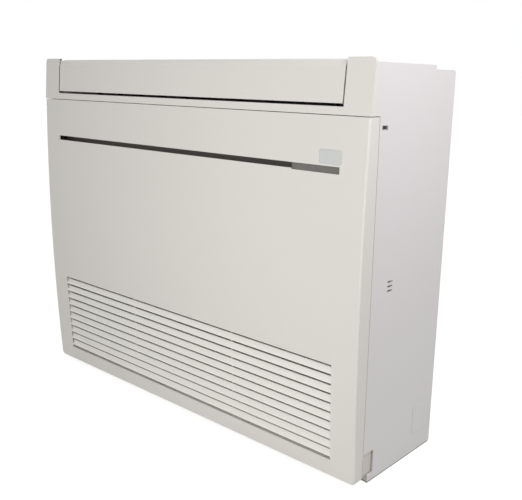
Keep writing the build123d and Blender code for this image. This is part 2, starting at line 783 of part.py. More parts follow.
with BuildPart() as stabiliser:
    with BuildSketch(Plane.YZ.offset(-duct_half)):
        with BuildLine():
            FilletPolyline(
                (side_frame_front_y, tip_z - 22.0),
                (tip_y - 22.0, tip_z - 22.0),
                (tip_y, tip_z),
                (floor_end_y, floor_end_z),
                radius=(8.0, 4.0),
            )
            offset(amount=duct_sheet, side=Side.LEFT)
        make_face()
    extrude(amount=2 * duct_half)
    for side in (-1, 1):
        for vane_x in vane_xs:
            with BuildSketch(on_floor(side * vane_x, 1.0)):
                Circle(vane_pin_radius + running_gap)
            extrude(amount=-3 * duct_sheet, mode=Mode.SUBTRACT)
stabiliser.part.label = "stabiliser"
export_step(stabiliser.part, "parts/stabiliser.step")

# Guide vanes: a plate on a foot pin, with a crank pin for the tie bar
vane_sheet = 1.5
vane_back = 8.0
vane_front = 26.0
vane_height = 34.0
vane_lift = 0.6
crank_reach = 19.0
crank_pin_radius = 1.5
notch_back = 12.0
notch_height = 7.5
bar_width = 7.0
bar_sheet = 1.6
bar_lift = 3.4
for side, side_name in ((-1, "left"), (1, "right")):
    for number, vane_x in enumerate(vane_xs, start=1):
        with BuildPart() as guide_vane:
            # The plate stands in the plane of the flow and the floor's normal
            plate_plane = Plane(
                origin=on_floor(side * vane_x).origin,
                x_dir=(0, flow[0], flow[1]),
                z_dir=(1, 0, 0) if flow[0] * duct_normal[1] - flow[1] * duct_normal[0] > 0 else (-1, 0, 0),
            )
            with BuildSketch(plate_plane):
                with BuildLine():
                    Polyline(
                        (-vane_back, vane_lift),
                        (notch_back, vane_lift),
                        (notch_back, notch_height),
                        (vane_front, notch_height),
                        (vane_front, vane_height - 6.0),
                        (vane_front - 6.0, vane_height),
                        (-vane_back, vane_height),
                        close=True,
                    )
                make_face()
            extrude(amount=vane_sheet / 2, both=True)
            with BuildSketch(on_floor(side * vane_x, vane_lift)):
                Circle(vane_pin_radius + 1.2)
            extrude(amount=3.0)
            with BuildSketch(on_floor(side * vane_x, 3.0)):
                Circle(vane_pin_radius)
            extrude(amount=-3.0 - duct_sheet - 1.5)
            with BuildSketch(on_floor(side * vane_x, notch_height + 0.5)):
                with Locations((crank_reach, 0)):
                    Circle(crank_pin_radius)
            extrude(amount=-(notch_height + 0.5 - bar_lift + 1.0))
        name = f"guide_vane_{side_name}_{number}"
        guide_vane.part.label = name
        export_step(guide_vane.part, f"parts/{name}.step")

    # Tie bar that turns the vanes of one side together, with its finger tab
    with BuildPart() as tie_bar:
        with BuildSketch(on_floor(0, bar_lift)):
            bar_middle = side * (vane_xs[0] + vane_xs[-1]) / 2
            across = -bar_middle if on_floor(0).y_dir.X < 0 else bar_middle
            with Locations((crank_reach, across)):
                SlotOverall(vane_xs[-1] - vane_xs[0] + 2 * bar_width, bar_width, rotation=90)
            for vane_x in vane_xs:
                hole = -side * vane_x if on_floor(0).y_dir.X < 0 else side * vane_x
                with Locations((crank_reach, hole)):
                    Circle(crank_pin_radius + running_gap, mode=Mode.SUBTRACT)
        extrude(amount=bar_sheet)
    name = f"vane_tie_bar_{side_name}"
    tie_bar.part.label = name
    export_step(tie_bar.part, f"parts/{name}.step")

# Fan rotor: curved blades through end discs and two inner rings
with BuildPart() as cross_flow_fan:
    with BuildSketch(Plane.YZ.offset(-fan_half)):
        with Locations((fan_y, fan_z)):
            with PolarLocations(0, fan_blades):
                with BuildLine(mode=Mode.PRIVATE) as blade_line:
                    blade_tip = (
                        (fan_radius - 0.8) * math.cos(math.radians(blade_lead)),
                        (fan_radius - 0.8) * math.sin(math.radians(blade_lead)),
                    )
                    blade_knee = (
                        (blade_inner + blade_tip[0]) / 2 + blade_bow * math.sin(math.radians(blade_lead)),
                        blade_tip[1] / 2 - blade_bow,
                    )
                    Polyline((blade_inner, 0), blade_knee, blade_tip)
                    offset(amount=blade_sheet, side=Side.LEFT)
                add(make_face(blade_line.line, mode=Mode.PRIVATE))
    extrude(amount=2 * fan_half)
    for ring_x in (-fan_half / 3, fan_half / 3):
        with BuildSketch(Plane.YZ.offset(ring_x)):
            with Locations((fan_y, fan_z)):
                Circle(fan_radius)
                Circle(blade_inner - 2.0, mode=Mode.SUBTRACT)
        extrude(amount=disc_sheet)
    for disc_x in (-fan_half, fan_half - disc_sheet):
        with BuildSketch(Plane.YZ.offset(disc_x)):
            with Locations((fan_y, fan_z)):
                Circle(fan_radius)
                Circle(shaft_radius + running_gap, mode=Mode.SUBTRACT)
        extrude(amount=disc_sheet)
        # Hub behind the disc
        with BuildSketch(Plane.YZ.offset(disc_x if disc_x < 0 else disc_x + disc_sheet - hub_length)):
            with Locations((fan_y, fan_z)):
                Circle(hub_radius)
                Circle(shaft_radius + running_gap, mode=Mode.SUBTRACT)
        extrude(amount=hub_length)
cross_flow_fan.part.label = "cross_flow_fan"
export_step(cross_flow_fan.part, "parts/cross_flow_fan.step")

# Shafts of the fan: a stub in the bearing on the left, the motor's shaft on the right
motor_radius = 42.0
motor_length = 38.0
motor_chamfer = 4.0
motor_gap = 1.0
motor_start = duct_half + side_frame_sheet + motor_gap
shaft_end_right = motor_start + 24.0
bush_width = 10.0
bearing_radius = 11.0
bearing_width = 7.0
bush_end = duct_half + side_frame_sheet + 4.0
with BuildPart() as fan_shafts:
    for start, length in (
        (-bush_end - 2.0, bush_end + 2.0 - fan_half + hub_length - 1.0),
        (fan_half - hub_length + 1.0, shaft_end_right - fan_half + hub_length - 1.0),
    ):
        with BuildSketch(Plane.YZ.offset(start)):
            with Locations((fan_y, fan_z)):
                Circle(shaft_radius)
        extrude(amount=length)
    chamfer(fan_shafts.edges().filter_by(GeomType.CIRCLE), 0.6)
fan_shafts.part.label = "fan_shafts"
export_step(fan_shafts.part, "parts/fan_shafts.step")

with BuildPart() as fan_bearing:
    with BuildSketch(Plane.YZ.offset(-bush_end + 1.5)):
        with Locations((fan_y, fan_z)):
            Circle(bearing_radius)
            Circle(shaft_radius + running_gap, mode=Mode.SUBTRACT)
    extrude(amount=bearing_width)
    chamfer(fan_bearing.edges().filter_by(GeomType.CIRCLE), 0.5)
fan_bearing.part.label = "fan_bearing"
export_step(fan_bearing.part, "parts/fan_bearing.step")

with BuildPart() as bearing_bush:
    with BuildSketch(Plane.YZ.offset(-bush_end)):
        with Locations((fan_y, fan_z)):
            Circle(bearing_seat_radius - running_gap)
            Circle(bearing_radius + running_gap, mode=Mode.SUBTRACT)
    extrude(amount=bush_width)
    with BuildSketch(Plane.YZ.offset(-bush_end)):
        with Locations((fan_y, fan_z)):
            Circle(bearing_seat_radius + 4.0)
            Circle(bearing_radius + running_gap, mode=Mode.SUBTRACT)
    extrude(amount=bush_end - duct_half - side_frame_sheet)
bearing_bush.part.label = "bearing_bush"
export_step(bearing_bush.part, "parts/bearing_bush.step")

with BuildPart() as fan_motor:
    with BuildSketch(Plane.YZ.offset(motor_start)):
        with Locations((fan_y, fan_z)):
            Circle(motor_radius)
    extrude(amount=motor_length)
    chamfer(fan_motor.edges().filter_by(GeomType.CIRCLE), motor_chamfer)
    for boss_start, boss_length in ((motor_start - 3.0, 3.0), (motor_start + motor_length, 3.0)):
        with BuildSketch(Plane.YZ.offset(boss_start)):
            with Locations((fan_y, fan_z)):
                Circle(14.0)
        extrude(amount=boss_length)
    with BuildSketch(Plane.YZ.offset(motor_start - 3.0)):
        with Locations((fan_y, fan_z)):
            Circle(shaft_radius + running_gap)
    extrude(amount=shaft_end_right - motor_start + 5.0, mode=Mode.SUBTRACT)
fan_motor.part.label = "fan_motor"
export_step(fan_motor.part, "parts/fan_motor.step")

# Strap that holds the motor to the right side frame
strap_sheet = 2.5
strap_start = duct_half + side_frame_sheet
strap_length = 20.0
with BuildPart() as motor_strap:
    with BuildSketch(Plane.YZ.offset(strap_start)):
        with Locations((fan_y, fan_z)):
            Circle(motor_radius + running_gap + strap_sheet)
            Circle(motor_radius + running_gap, mode=Mode.SUBTRACT)
    extrude(amount=strap_length)
    with BuildSketch(Plane.YZ.offset(strap_start)):
        for ear_z in (-1, 1):
            with Locations((fan_y, fan_z + ear_z * (motor_radius + 9.0))):
                Rectangle(22.0, 14.0)
    extrude(amount=strap_sheet)
motor_strap.part.label = "motor_strap"
export_step(motor_strap.part, "parts/motor_strap.step")

# Flap bearings: a bush on the left, the drive motor on the right
cheek_outer_x = feature_half + cheek_wall
bush_flange = 2.0
with BuildPart() as flap_bush:
    with BuildSketch(Plane.YZ.offset(-cheek_outer_x - bush_flange)):
        with Locations((flap_pivot_y, flap_pivot_z)):
            Circle(bush_radius - running_gap)
            Circle(flap_pin_radius + running_gap, mode=Mode.SUBTRACT)
    extrude(amount=cheek_wall + bush_flange)
    # Lug that keeps the bush from turning
    with BuildSketch(Plane.YZ.offset(-cheek_outer_x - bush_flange)):
        with Locations((flap_pivot_y, flap_pivot_z - bush_radius - 1.5)):
            Rectangle(7.0, 7.0)
        with Locations((flap_pivot_y, flap_pivot_z)):
            Circle(flap_pin_radius + running_gap, mode=Mode.SUBTRACT)
    extrude(amount=bush_flange)
flap_bush.part.label = "flap_bush"
export_step(flap_bush.part, "parts/flap_bush.step")

flap_motor_radius = 13.2
flap_motor_length = 19.0
flap_motor_drop = 8.5
with BuildPart() as flap_motor:
    with BuildSketch(Plane.YZ.offset(feature_half)):
        with Locations((flap_pivot_y, flap_pivot_z)):
            Circle(bush_radius - running_gap)
    extrude(amount=cheek_wall)
    with BuildSketch(Plane.YZ.offset(cheek_outer_x)):
        with Locations((flap_pivot_y, flap_pivot_z - flap_motor_drop)):
            Circle(flap_motor_radius)
    extrude(amount=flap_motor_length)
    # Screw ears
    with BuildSketch(Plane.YZ.offset(cheek_outer_x)):
        for ear_y, ear_z in ((flap_motor_radius + 2.0, 0), (0, -flap_motor_radius - 2.0)):
            with Locations((flap_pivot_y + ear_y, flap_pivot_z - flap_motor_drop + ear_z)):
                Circle(4.0)
                Circle(1.6, mode=Mode.SUBTRACT)
    extrude(amount=1.0)
    with BuildSketch(Plane.YZ.offset(feature_half)):
        with Locations((flap_pivot_y, flap_pivot_z)):
            Circle(flap_pin_radius + running_gap)
    extrude(amount=cheek_wall + 8.5, mode=Mode.SUBTRACT)
flap_motor.part.label = "flap_motor"
export_step(flap_motor.part, "parts/flap_motor.step")

# Heat exchanger, leaning from the drain pan up to the front
tube_radius = 3.5
bend_radius = 10.5
bend_pitch = 30.0
bend_sides = 8
bend_first = {-1: 55.0 - coil_run / 2, 1: 145.0 - coil_run / 2}
bend_last = coil_run / 2 - 45.0


def coil_plane(x, along=0.0):
    """Plane across the coil: local X runs up the coil, local Y out of its front."""
    return Plane(
        origin=(x, coil_mid[0] + coil_dir[0] * along, coil_mid[1] + coil_dir[1] * along),
        x_dir=(0, coil_dir[0], coil_dir[1]),
        z_dir=(1, 0, 0),
    )


with BuildPart() as fin_block:
    with BuildSketch(coil_plane(-coil_half)):
        Rectangle(coil_run, web_sheet)
    extrude(amount=2 * coil_half)
    fin_total = int((coil_half - fin_sheet) / fin_pitch)
    with BuildSketch(*[coil_plane(number * fin_pitch - fin_sheet / 2) for number in range(-fin_total, fin_total + 1)]):
        Rectangle(coil_run, coil_depth)
    extrude(amount=fin_sheet)
fin_block.part.label = "fin_block"
export_step(fin_block.part, "parts/fin_block.step")

with BuildPart() as coil_end_plates:
    for side in (-1, 1):
        with BuildSketch(coil_plane(side * coil_half)):
            Rectangle(coil_run + 2 * coil_margin, coil_depth + 2 * coil_margin)
        extrude(amount=side * sheet)
        with BuildSketch(coil_plane(side * coil_half)):
            for end in (-1, 1):
                with Locations((end * (coil_run / 2 + coil_margin - sheet / 2), 0)):
                    Rectangle(sheet, coil_depth + 2 * coil_margin)
        extrude(amount=side * (duct_half - coil_half))
        # The lower flange ends at the pan's wall
        with Locations((side * duct_half, coil_bottom[0], pan_low)):
            Box(2 * pan_wall, 2 * depth, 2 * (pan_high - pan_low), mode=Mode.SUBTRACT)
coil_end_plates.part.label = "coil_end_plates"
export_step(coil_end_plates.part, "parts/coil_end_plates.step")

with BuildPart() as return_bends:
    for side in (-1, 1):
        bend_total = int((bend_last - bend_first[side]) / bend_pitch) + 1
        for number in range(bend_total):
            bend_origin = coil_plane(side * (coil_half + sheet), bend_first[side] + number * bend_pitch).origin
            bend_plane = Plane(
                origin=bend_origin,
                x_dir=(0, coil_dir[0], coil_dir[1]),
                z_dir=(0, side * coil_dir[1], -side * coil_dir[0]),
            )
            with BuildSketch(Plane(origin=bend_plane.origin, x_dir=bend_plane.x_dir, z_dir=-bend_plane.y_dir)):
                with Locations((bend_radius, 0)):
                    RegularPolygon(tube_radius, bend_sides, major_radius=False, rotation=180 / bend_sides)
            revolve(axis=Axis(bend_plane.origin, bend_plane.z_dir), revolution_arc=180)
return_bends.part.label = "return_bends"
export_step(return_bends.part, "parts/return_bends.step")

# Refrigerant pipes and their flare unions, pointing down at the pipe opening
union_thread_length = 12.0
union_body_length = 13.0
union_low = 54.0
for name, pipe_radius, along, pipe_x, pipe_y, thread_radius, body_flats in (
    ("liquid", 3.2, liquid_pipe_inset - coil_run / 2, half_width - 25.0, wall_y - 45.5, 5.56, 14.0),
    ("gas", 4.8, gas_pipe_inset - coil_run / 2, half_width - 37.0, wall_y - 64.0, 7.94, 19.0),
):
    outlet = coil_plane(coil_half + sheet, along).origin
    pipe_bottom = union_low + union_thread_length + union_body_length
    elbow_x = outlet.X + 15.0
    with BuildPart() as pipe:
        with BuildLine() as pipe_line:
            FilletPolyline(
                outlet,
                (elbow_x, outlet.Y, outlet.Z),
                (elbow_x, pipe_y, outlet.Z),
                (pipe_x, pipe_y, outlet.Z),
                (pipe_x, pipe_y, pipe_bottom),
                radius=8.0,
            )
        with BuildSketch(Plane(origin=pipe_line.line @ 0, z_dir=pipe_line.line % 0)):
            Circle(pipe_radius)
        sweep()
    pipe.part.label = f"{name}_pipe"
    export_step(pipe.part, f"parts/{name}_pipe.step")
    with BuildPart() as union:
        with BuildSketch(Plane.XY.offset(union_low + union_thread_length)):
            with Locations((pipe_x, pipe_y)):
                RegularPolygon(body_flats / 2, 6, major_radius=False)
        extrude(amount=union_body_length)
        with BuildSketch(Plane.XY.offset(union_low)):
            with Locations((pipe_x, pipe_y)):
                Circle(thread_radius)
        extrude(amount=union_thread_length)
        with BuildSketch(Plane.XY.offset(union_low)):
            with Locations((pipe_x, pipe_y)):
                Circle(pipe_radius - 0.8)
        extrude(amount=union_thread_length + union_body_length - 4.0, mode=Mode.SUBTRACT)
    union.part.label = f"{name}_flare_union"
    export_step(union.part, f"parts/{name}_flare_union.step")

# Drain pan under the coil, with its spigot over the pipe opening
pan_front_y = wall_y - 95.5
pan_rear_y = side_frame_rear_y - 0.5
spigot_x = half_width - 75.0
spigot_y = wall_y - 37.5
spigot_radius = 9.0
spigot_bore = 6.5
spigot_length = 26.0
with BuildPart() as drain_pan:
    with Locations((0, (pan_front_y + pan_rear_y) / 2, pan_low)):
        Box(2 * duct_half, pan_rear_y - pan_front_y, pan_high - pan_low, align=(Align.CENTER, Align.CENTER, Align.MIN))
    fillet(drain_pan.edges().filter_by(Axis.X).group_by(Axis.Z)[0], 6.0)
    offset(amount=-pan_wall, openings=drain_pan.faces().sort_by(Axis.Z)[-1])
    with BuildSketch(Plane.XY.offset(pan_low + 1.0)):
        with Locations((spigot_x, spigot_y)):
            Circle(spigot_radius)
    extrude(amount=-spigot_length - 1.0)
    with BuildSketch(Plane.XY.offset(pan_low + pan_wall + 1.0)):
        with Locations((spigot_x, spigot_y)):
            Circle(spigot_bore)
    extrude(amount=-spigot_length - pan_wall - 2.0, mode=Mode.SUBTRACT)
drain_pan.part.label = "drain_pan"
export_step(drain_pan.part, "parts/drain_pan.step")

# Electrical box beside the right side frame
box_x = duct_half + side_frame_sheet
box_width = 34.0
box_front_y = inner_frame_y + inner_frame_sheet + 7.0
box_depth = 80.0
box_low = 130.0
box_motor_gap = 10.5
box_height = fan_z - motor_radius - strap_sheet - box_motor_gap - box_low
with BuildPart() as electrical_box:
    with Locations((box_x, box_front_y, box_low)):
        Box(box_width, box_depth, box_height, align=(Align.MIN, Align.MIN, Align.MIN))
    offset(amount=-sheet, openings=electrical_box.faces().sort_by(Axis.Y)[0])
electrical_box.part.label = "electrical_box"
export_step(electrical_box.part, "parts/electrical_box.step")

with BuildPart() as electrical_cover:
    with BuildSketch(Plane.XZ.offset(-box_front_y)):
        with Locations((box_x + box_width / 2, box_low + box_height / 2)):
            Rectangle(box_width, box_height)
    extrude(amount=sheet)
    with BuildSketch(Plane.XZ.offset(-box_front_y + sheet)):
        with Locations((box_x + box_width / 2, box_low + box_height / 2)):
            RectangleRounded(box_width - 12.0, box_height - 30.0, 4.0)
    extrude(amount=1.2, taper=30)
electrical_cover.part.label = "electrical_cover"
export_step(electrical_cover.part, "parts/electrical_cover.step")

board_sheet = 1.6
board_x = box_x + sheet + 6.0
board_low = box_low + 65.0
board_high = box_low + box_height - 15.0
board_z = (board_low + board_high) / 2
with BuildPart() as control_board:
    with BuildSketch(Plane.YZ.offset(board_x)):
        with Locations((box_front_y + box_depth / 2, board_z)):
            Rectangle(box_depth - 2 * sheet - 6.0, board_high - board_low)
    extrude(amount=board_sheet)
    # Transformer, relay, capacitor and connectors
    top = board_x + board_sheet
    for part_y, part_z, size_y, size_z, size_x in (
        (20.0, board_low + 25.0, 22.0, 20.0, 14.0),
        (52.0, board_low + 30.0, 12.0, 22.0, 12.0),
        (30.0, board_high - 25.0, 30.0, 8.0, 7.0),
        (58.0, board_high - 35.0, 8.0, 30.0, 6.0),
    ):
        with Locations((top, box_front_y + part_y, part_z)):
            Box(size_x, size_y, size_z, align=(Align.MIN, Align.CENTER, Align.CENTER))
    with BuildSketch(Plane.YZ.offset(top)):
        with Locations((box_front_y + 26.0, board_z + 5.0)):
            Circle(9.0)
    extrude(amount=18.0)
    # Stand-offs that rest on the box wall
    with BuildSketch(Plane.YZ.offset(board_x)):
        with Locations((box_front_y + box_depth / 2, board_z)):
            with GridLocations(box_depth - 20.0, board_high - board_low - 10.0, 2, 2):
                Circle(2.5)
    extrude(amount=-(board_x - box_x - sheet))
control_board.part.label = "control_board"
export_step(control_board.part, "parts/control_board.step")

with BuildPart() as terminal_block:
    with Locations((box_x + sheet, box_front_y + 30.0, box_low + 30.0)):
        Box(18.0, 44.0, 24.0, align=(Align.MIN, Align.CENTER, Align.CENTER))
    for pole in range(4):
        pole_y = box_front_y + 30.0 + (pole - 1.5) * 10.0
        with Locations((box_x + sheet + 18.0, pole_y, box_low + 30.0)):
            Box(8.0, 7.5, 30.0, mode=Mode.SUBTRACT)
        with BuildSketch(Plane.YZ.offset(box_x + sheet + 14.0)):
            with Locations((pole_y, box_low + 30.0)):
                Circle(3.0)
        extrude(amount=2.0)
terminal_block.part.label = "terminal_block"
export_step(terminal_block.part, "parts/terminal_block.step")

# Display unit behind the lens: housing, board and the emergency button
housing_wall = 2.0
housing_depth = 11.0
housing_x = window_x - 24.0
housing_width = 106.0
housing_z = filter_low + filter_height + 40.0
housing_height = 50.0
housing_front_y = inner_frame_y - housing_depth
button_x = housing_x - 43.0
button_z = housing_z + 14.0
button_radius = 5.0
button_travel = 1.5
button_head = 2.0
receiver_radius = 4.5
with BuildPart() as display_housing:
    with Locations((housing_x, inner_frame_y, housing_z)):
        Box(housing_width, housing_depth, housing_height, align=(Align.CENTER, Align.MAX, Align.CENTER))
    fillet(display_housing.edges().filter_by(Axis.Y), 3.0)
    offset(amount=-housing_wall, openings=display_housing.faces().sort_by(Axis.Y)[-1])
    with BuildSketch(Plane.XZ.offset(-housing_front_y)):
        with Locations((feature_half - lens_length / 2, lens_z)):
            Rectangle(lens_length - 14.0, 5.0)
        with Locations((window_x, window_z)):
            Circle(receiver_radius + 1.0)
        with Locations((button_x, button_z)):
            Circle(button_radius + seat_gap)
    extrude(amount=-housing_wall, mode=Mode.SUBTRACT)
display_housing.part.label = "display_housing"
export_step(display_housing.part, "parts/display_housing.step")

display_board_y = housing_front_y + housing_wall + button_travel + 2.8
with BuildPart() as display_board:
    with BuildSketch(Plane.XZ.offset(-display_board_y)):
        with Locations((housing_x, housing_z)):
            Rectangle(housing_width - 2 * housing_wall - 1.0, housing_height - 2 * housing_wall - 1.0)
    extrude(amount=-board_sheet)
    for led in range(4):
        with Locations((feature_half - lens_length / 2 + (led - 1.5) * 14.0, display_board_y, lens_z)):
            Box(4.0, 2.5, 3.0, align=(Align.CENTER, Align.MAX, Align.CENTER))
    with BuildSketch(Plane.XZ.offset(-display_board_y)):
        with Locations((window_x, window_z)):
            Circle(receiver_radius)
    extrude(amount=display_board_y - housing_front_y + 1.0)
    chamfer(display_board.edges().filter_by(GeomType.CIRCLE).sort_by(Axis.Y)[0], 1.5)
    # Posts to the inner frame
    with BuildSketch(Plane.XZ.offset(-display_board_y - board_sheet)):
        with Locations((housing_x, housing_z)):
            with GridLocations(housing_width - 16.0, housing_height - 16.0, 2, 2):
                Circle(2.5)
    extrude(amount=-(inner_frame_y - display_board_y - board_sheet))
display_board.part.label = "display_board"
export_step(display_board.part, "parts/display_board.step")

with BuildPart() as emergency_button:
    flange_front = housing_front_y + housing_wall + seat_gap
    with BuildSketch(Plane.XZ.offset(-flange_front - 1.2)):
        with Locations((button_x, button_z)):
            Circle(button_radius + 1.5)
    extrude(amount=1.2)
    with BuildSketch(Plane.XZ.offset(-flange_front)):
        with Locations((button_x, button_z)):
            Circle(button_radius)
    extrude(amount=flange_front - housing_front_y + button_head)
    chamfer(emergency_button.edges().filter_by(GeomType.CIRCLE).sort_by(Axis.Y)[0], 0.6)
emergency_button.part.label = "emergency_button"
export_step(emergency_button.part, "parts/emergency_button.step")

# Air filters: a frame with bars and a mesh behind them
mesh_sheet = 0.8
filter_side_gap = 0.5
filter_back_y = inner_frame_y - seat_gap
for side, side_name in ((-1, "left"), (1, "right")):
    filter_width = duct_half - rail[0] / 2 - 2 * filter_side_gap
    filter_x = side * (rail[0] / 2 + filter_side_gap + filter_width / 2)
    filter_z = filter_low + filter_height / 2
    with BuildPart() as filter_frame:
        with BuildSketch(Plane.XZ.offset(-filter_back_y)):
            with Locations((filter_x, filter_z)):
                Rectangle(filter_width, filter_height)
                Rectangle(filter_width - 2 * filter_border, filter_height - 2 * filter_border, mode=Mode.SUBTRACT)
        extrude(amount=filter_depth)
        with BuildSketch(Plane.XZ.offset(-filter_back_y + mesh_sheet)):
            for bar in (-1, 1):
                with Locations((filter_x + bar * filter_width / 6, filter_z)):
                    Rectangle(3.0, filter_height - filter_border)
            for bar in (-1, 0, 1):
                with Locations((filter_x, filter_z + bar * filter_height / 4)):
                    Rectangle(filter_width - filter_border, 3.0)
        extrude(amount=filter_depth - mesh_sheet - 1.0)
        # Finger tab at the top edge
        with Locations((filter_x, filter_back_y - filter_depth, filter_low + filter_height - filter_border)):
            Box(30.0, 3.0, filter_border, align=(Align.CENTER, Align.MAX, Align.MIN))
    filter_frame.part.label = f"filter_frame_{side_name}"
    export_step(filter_frame.part, f"parts/filter_frame_{side_name}.step")
    with BuildPart() as filter_mesh:
        with BuildSketch(Plane.XZ.offset(-filter_back_y)):
            with Locations((filter_x, filter_z)):
                Rectangle(filter_width - 2 * filter_border, filter_height - 2 * filter_border)
        extrude(amount=mesh_sheet)
    filter_mesh.part.label = f"filter_mesh_{side_name}"
    export_step(filter_mesh.part, f"parts/filter_mesh_{side_name}.step")

# Room thermistor in its clip, behind the slots of the right side casing
clip_thickness = 6.0
with BuildPart() as thermistor_clip:
    with Locations((inner_x, probe_y, probe_z)):
        Box(clip_thickness, 16.0, 26.0, align=(Align.MAX, Align.CENTER, Align.CENTER))
        Box(2 * clip_thickness - 4.0, 9.0, 20.0, mode=Mode.SUBTRACT)
    with BuildSketch(Plane.XY.offset(probe_z - 13.0)):
        with Locations((inner_x - 3.0, probe_y)):
            Circle(1.8)
    extrude(amount=26.0, mode=Mode.SUBTRACT)
thermistor_clip.part.label = "thermistor_clip"
export_step(thermistor_clip.part, "parts/thermistor_clip.step")

with BuildPart() as room_thermistor:
    with BuildSketch(Plane.XY.offset(probe_z - 13.0)):
        with Locations((inner_x - 3.0, probe_y)):
            Circle(1.75)
    extrude(amount=26.0)
    chamfer(room_thermistor.edges().filter_by(GeomType.CIRCLE), 0.8)
room_thermistor.part.label = "room_thermistor"
export_step(room_thermistor.part, "parts/room_thermistor.step")

# Screws that hold the inner frame
with BuildPart() as frame_screws:
    for side in (-1, 1):
        for screw_z in screw_zs:
            with BuildSketch(Plane.XZ.offset(-inner_frame_y)):
                with Locations((side * screw_x, screw_z)):
                    Circle(screw_head_radius)
            extrude(amount=screw_head_height)
            with BuildSketch(Plane.XZ.offset(-inner_frame_y)):
                with Locations((side * screw_x, screw_z)):
                    Circle(screw_radius)
            extrude(amount=-screw_length)
    chamfer(frame_screws.edges().filter_by(GeomType.CIRCLE).group_by(Axis.Y)[0], 1.2)
frame_screws.part.label = "frame_screws"
export_step(frame_screws.part, "parts/frame_screws.step")
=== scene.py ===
import json
import math

import bmesh
import bpy
from mathutils import Matrix, Vector


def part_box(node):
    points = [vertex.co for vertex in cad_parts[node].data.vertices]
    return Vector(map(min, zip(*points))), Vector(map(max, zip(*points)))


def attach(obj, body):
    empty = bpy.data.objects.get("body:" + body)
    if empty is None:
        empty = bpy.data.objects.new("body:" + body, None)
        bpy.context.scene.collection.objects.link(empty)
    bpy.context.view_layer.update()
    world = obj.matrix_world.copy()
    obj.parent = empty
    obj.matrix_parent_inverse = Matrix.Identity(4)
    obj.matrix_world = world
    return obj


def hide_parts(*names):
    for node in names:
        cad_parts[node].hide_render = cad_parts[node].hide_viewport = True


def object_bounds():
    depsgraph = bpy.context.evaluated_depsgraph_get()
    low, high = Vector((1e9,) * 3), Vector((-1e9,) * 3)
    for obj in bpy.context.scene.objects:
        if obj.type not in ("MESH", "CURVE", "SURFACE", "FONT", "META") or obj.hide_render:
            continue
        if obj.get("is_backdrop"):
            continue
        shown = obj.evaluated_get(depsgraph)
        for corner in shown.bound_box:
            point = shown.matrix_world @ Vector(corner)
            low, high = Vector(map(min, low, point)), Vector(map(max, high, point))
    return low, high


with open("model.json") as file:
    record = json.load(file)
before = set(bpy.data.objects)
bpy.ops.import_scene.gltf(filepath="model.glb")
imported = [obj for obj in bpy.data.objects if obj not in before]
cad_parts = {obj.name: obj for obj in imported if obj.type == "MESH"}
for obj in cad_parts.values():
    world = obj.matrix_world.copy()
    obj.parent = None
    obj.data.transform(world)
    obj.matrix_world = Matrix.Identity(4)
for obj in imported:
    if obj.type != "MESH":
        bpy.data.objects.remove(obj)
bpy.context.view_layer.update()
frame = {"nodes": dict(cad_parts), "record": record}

nodes = frame["nodes"]
MM = 0.001
AMBIENT = 0.4
FLOOR_GLOW = 0.8
FLOOR_HALF = 12.0
SHARP_ANGLE = math.radians(35.0)
RIM_STEPS, ARC_STEPS = 6, 8

# Main sizes in millimetres: the part's own, but for a few details that only the scene has
WIDTH, HEIGHT, DEPTH = 750.0, 600.0, 215.0
SIDE = WIDTH / 2
FRONT = -DEPTH / 2
WALL = DEPTH / 2
CASING_WALL = 2.5
INNER_SIDE = SIDE - CASING_WALL
BASE_SHEET = 2.5
CASE_TOP = HEIGHT - 6.0
REAR_TOP = HEIGHT - 12.0
REAR_STEP = WALL - 55.5
SEAM = HEIGHT - 72.5
PANEL_TOP = SEAM - 1.0
PANEL_BOTTOM = 8.0
CASING_FRONT = FRONT + 26.5
PANEL_RIM = CASING_FRONT - 0.8
EDGE_ROUND = 3.0
CORNER_ROUND = 8.0
CROWN = 285.0
CROWN_DROP = CROWN - PANEL_BOTTOM
BOTTOM_FALL_BACK = 8.0
CROWN_RADIUS = (CROWN_DROP**2 + BOTTOM_FALL_BACK**2) / (2 * BOTTOM_FALL_BACK)
BAND_TOP = FRONT + 12.5
RIM = BAND_TOP + 5.3
FEATURE = SIDE - 44.0
SILL = HEIGHT - 62.0
OUTLET_REAR = FRONT + 45.5
SLOT_MIDDLE = PANEL_TOP - 69.9
SLOT_HEIGHT = 8.0
SLOT_ROUND = 3.9
LENS_LENGTH = 83.0
LENS_DROP = 1.6
WINDOW_X = FEATURE - 16.0
WINDOW_Z = PANEL_TOP - 53.5
WINDOW_HALF = (19.0, 9.5)
WINDOW_ROUND = 3.0
WINDOW_PLAY = 0.1
LOUVRE_LOW = 34.8
LOUVRE_COUNT = 10
LOUVRE_PITCH = 14.5
LOUVRE_GAP = 5.0
LOUVRE_DEPTH = 4.5
LOUVRE_SHEET = 2.2
LOUVRE_OVERLAP = 0.2
LOUVRE_HIGH = LOUVRE_LOW + LOUVRE_GAP + LOUVRE_COUNT * LOUVRE_PITCH - 0.4
FLAP_HALF = FEATURE - 2.5
FLAP_LOW = SILL + 4.0
FLAP_SHEET = 2.5
FLAP_ARM_HALF = 1.25
PIVOT = (FRONT + 27.5, HEIGHT - 15.0)
PIVOT_BOSS, PIVOT_PIN = 6.0, 4.0
HINGE = (FRONT + 17.5, 18.0)
HINGE_BOSS, HINGE_PIN = 6.4, 3.5
PANEL_ARM_HALF = 2.5
CATCH_Z = PANEL_TOP - 13.9


def front_at(z):
    """Y of the panel's front at a height: a very shallow barrel."""
    return FRONT + CROWN_RADIUS - math.sqrt(CROWN_RADIUS**2 - (z - CROWN) ** 2)


def band_at(z):
    """Y of the band's front at a height: it leans back to the top edge."""
    share = (z - SEAM) / (HEIGHT - SEAM)
    return front_at(PANEL_TOP) * (1 - share) + BAND_TOP * share


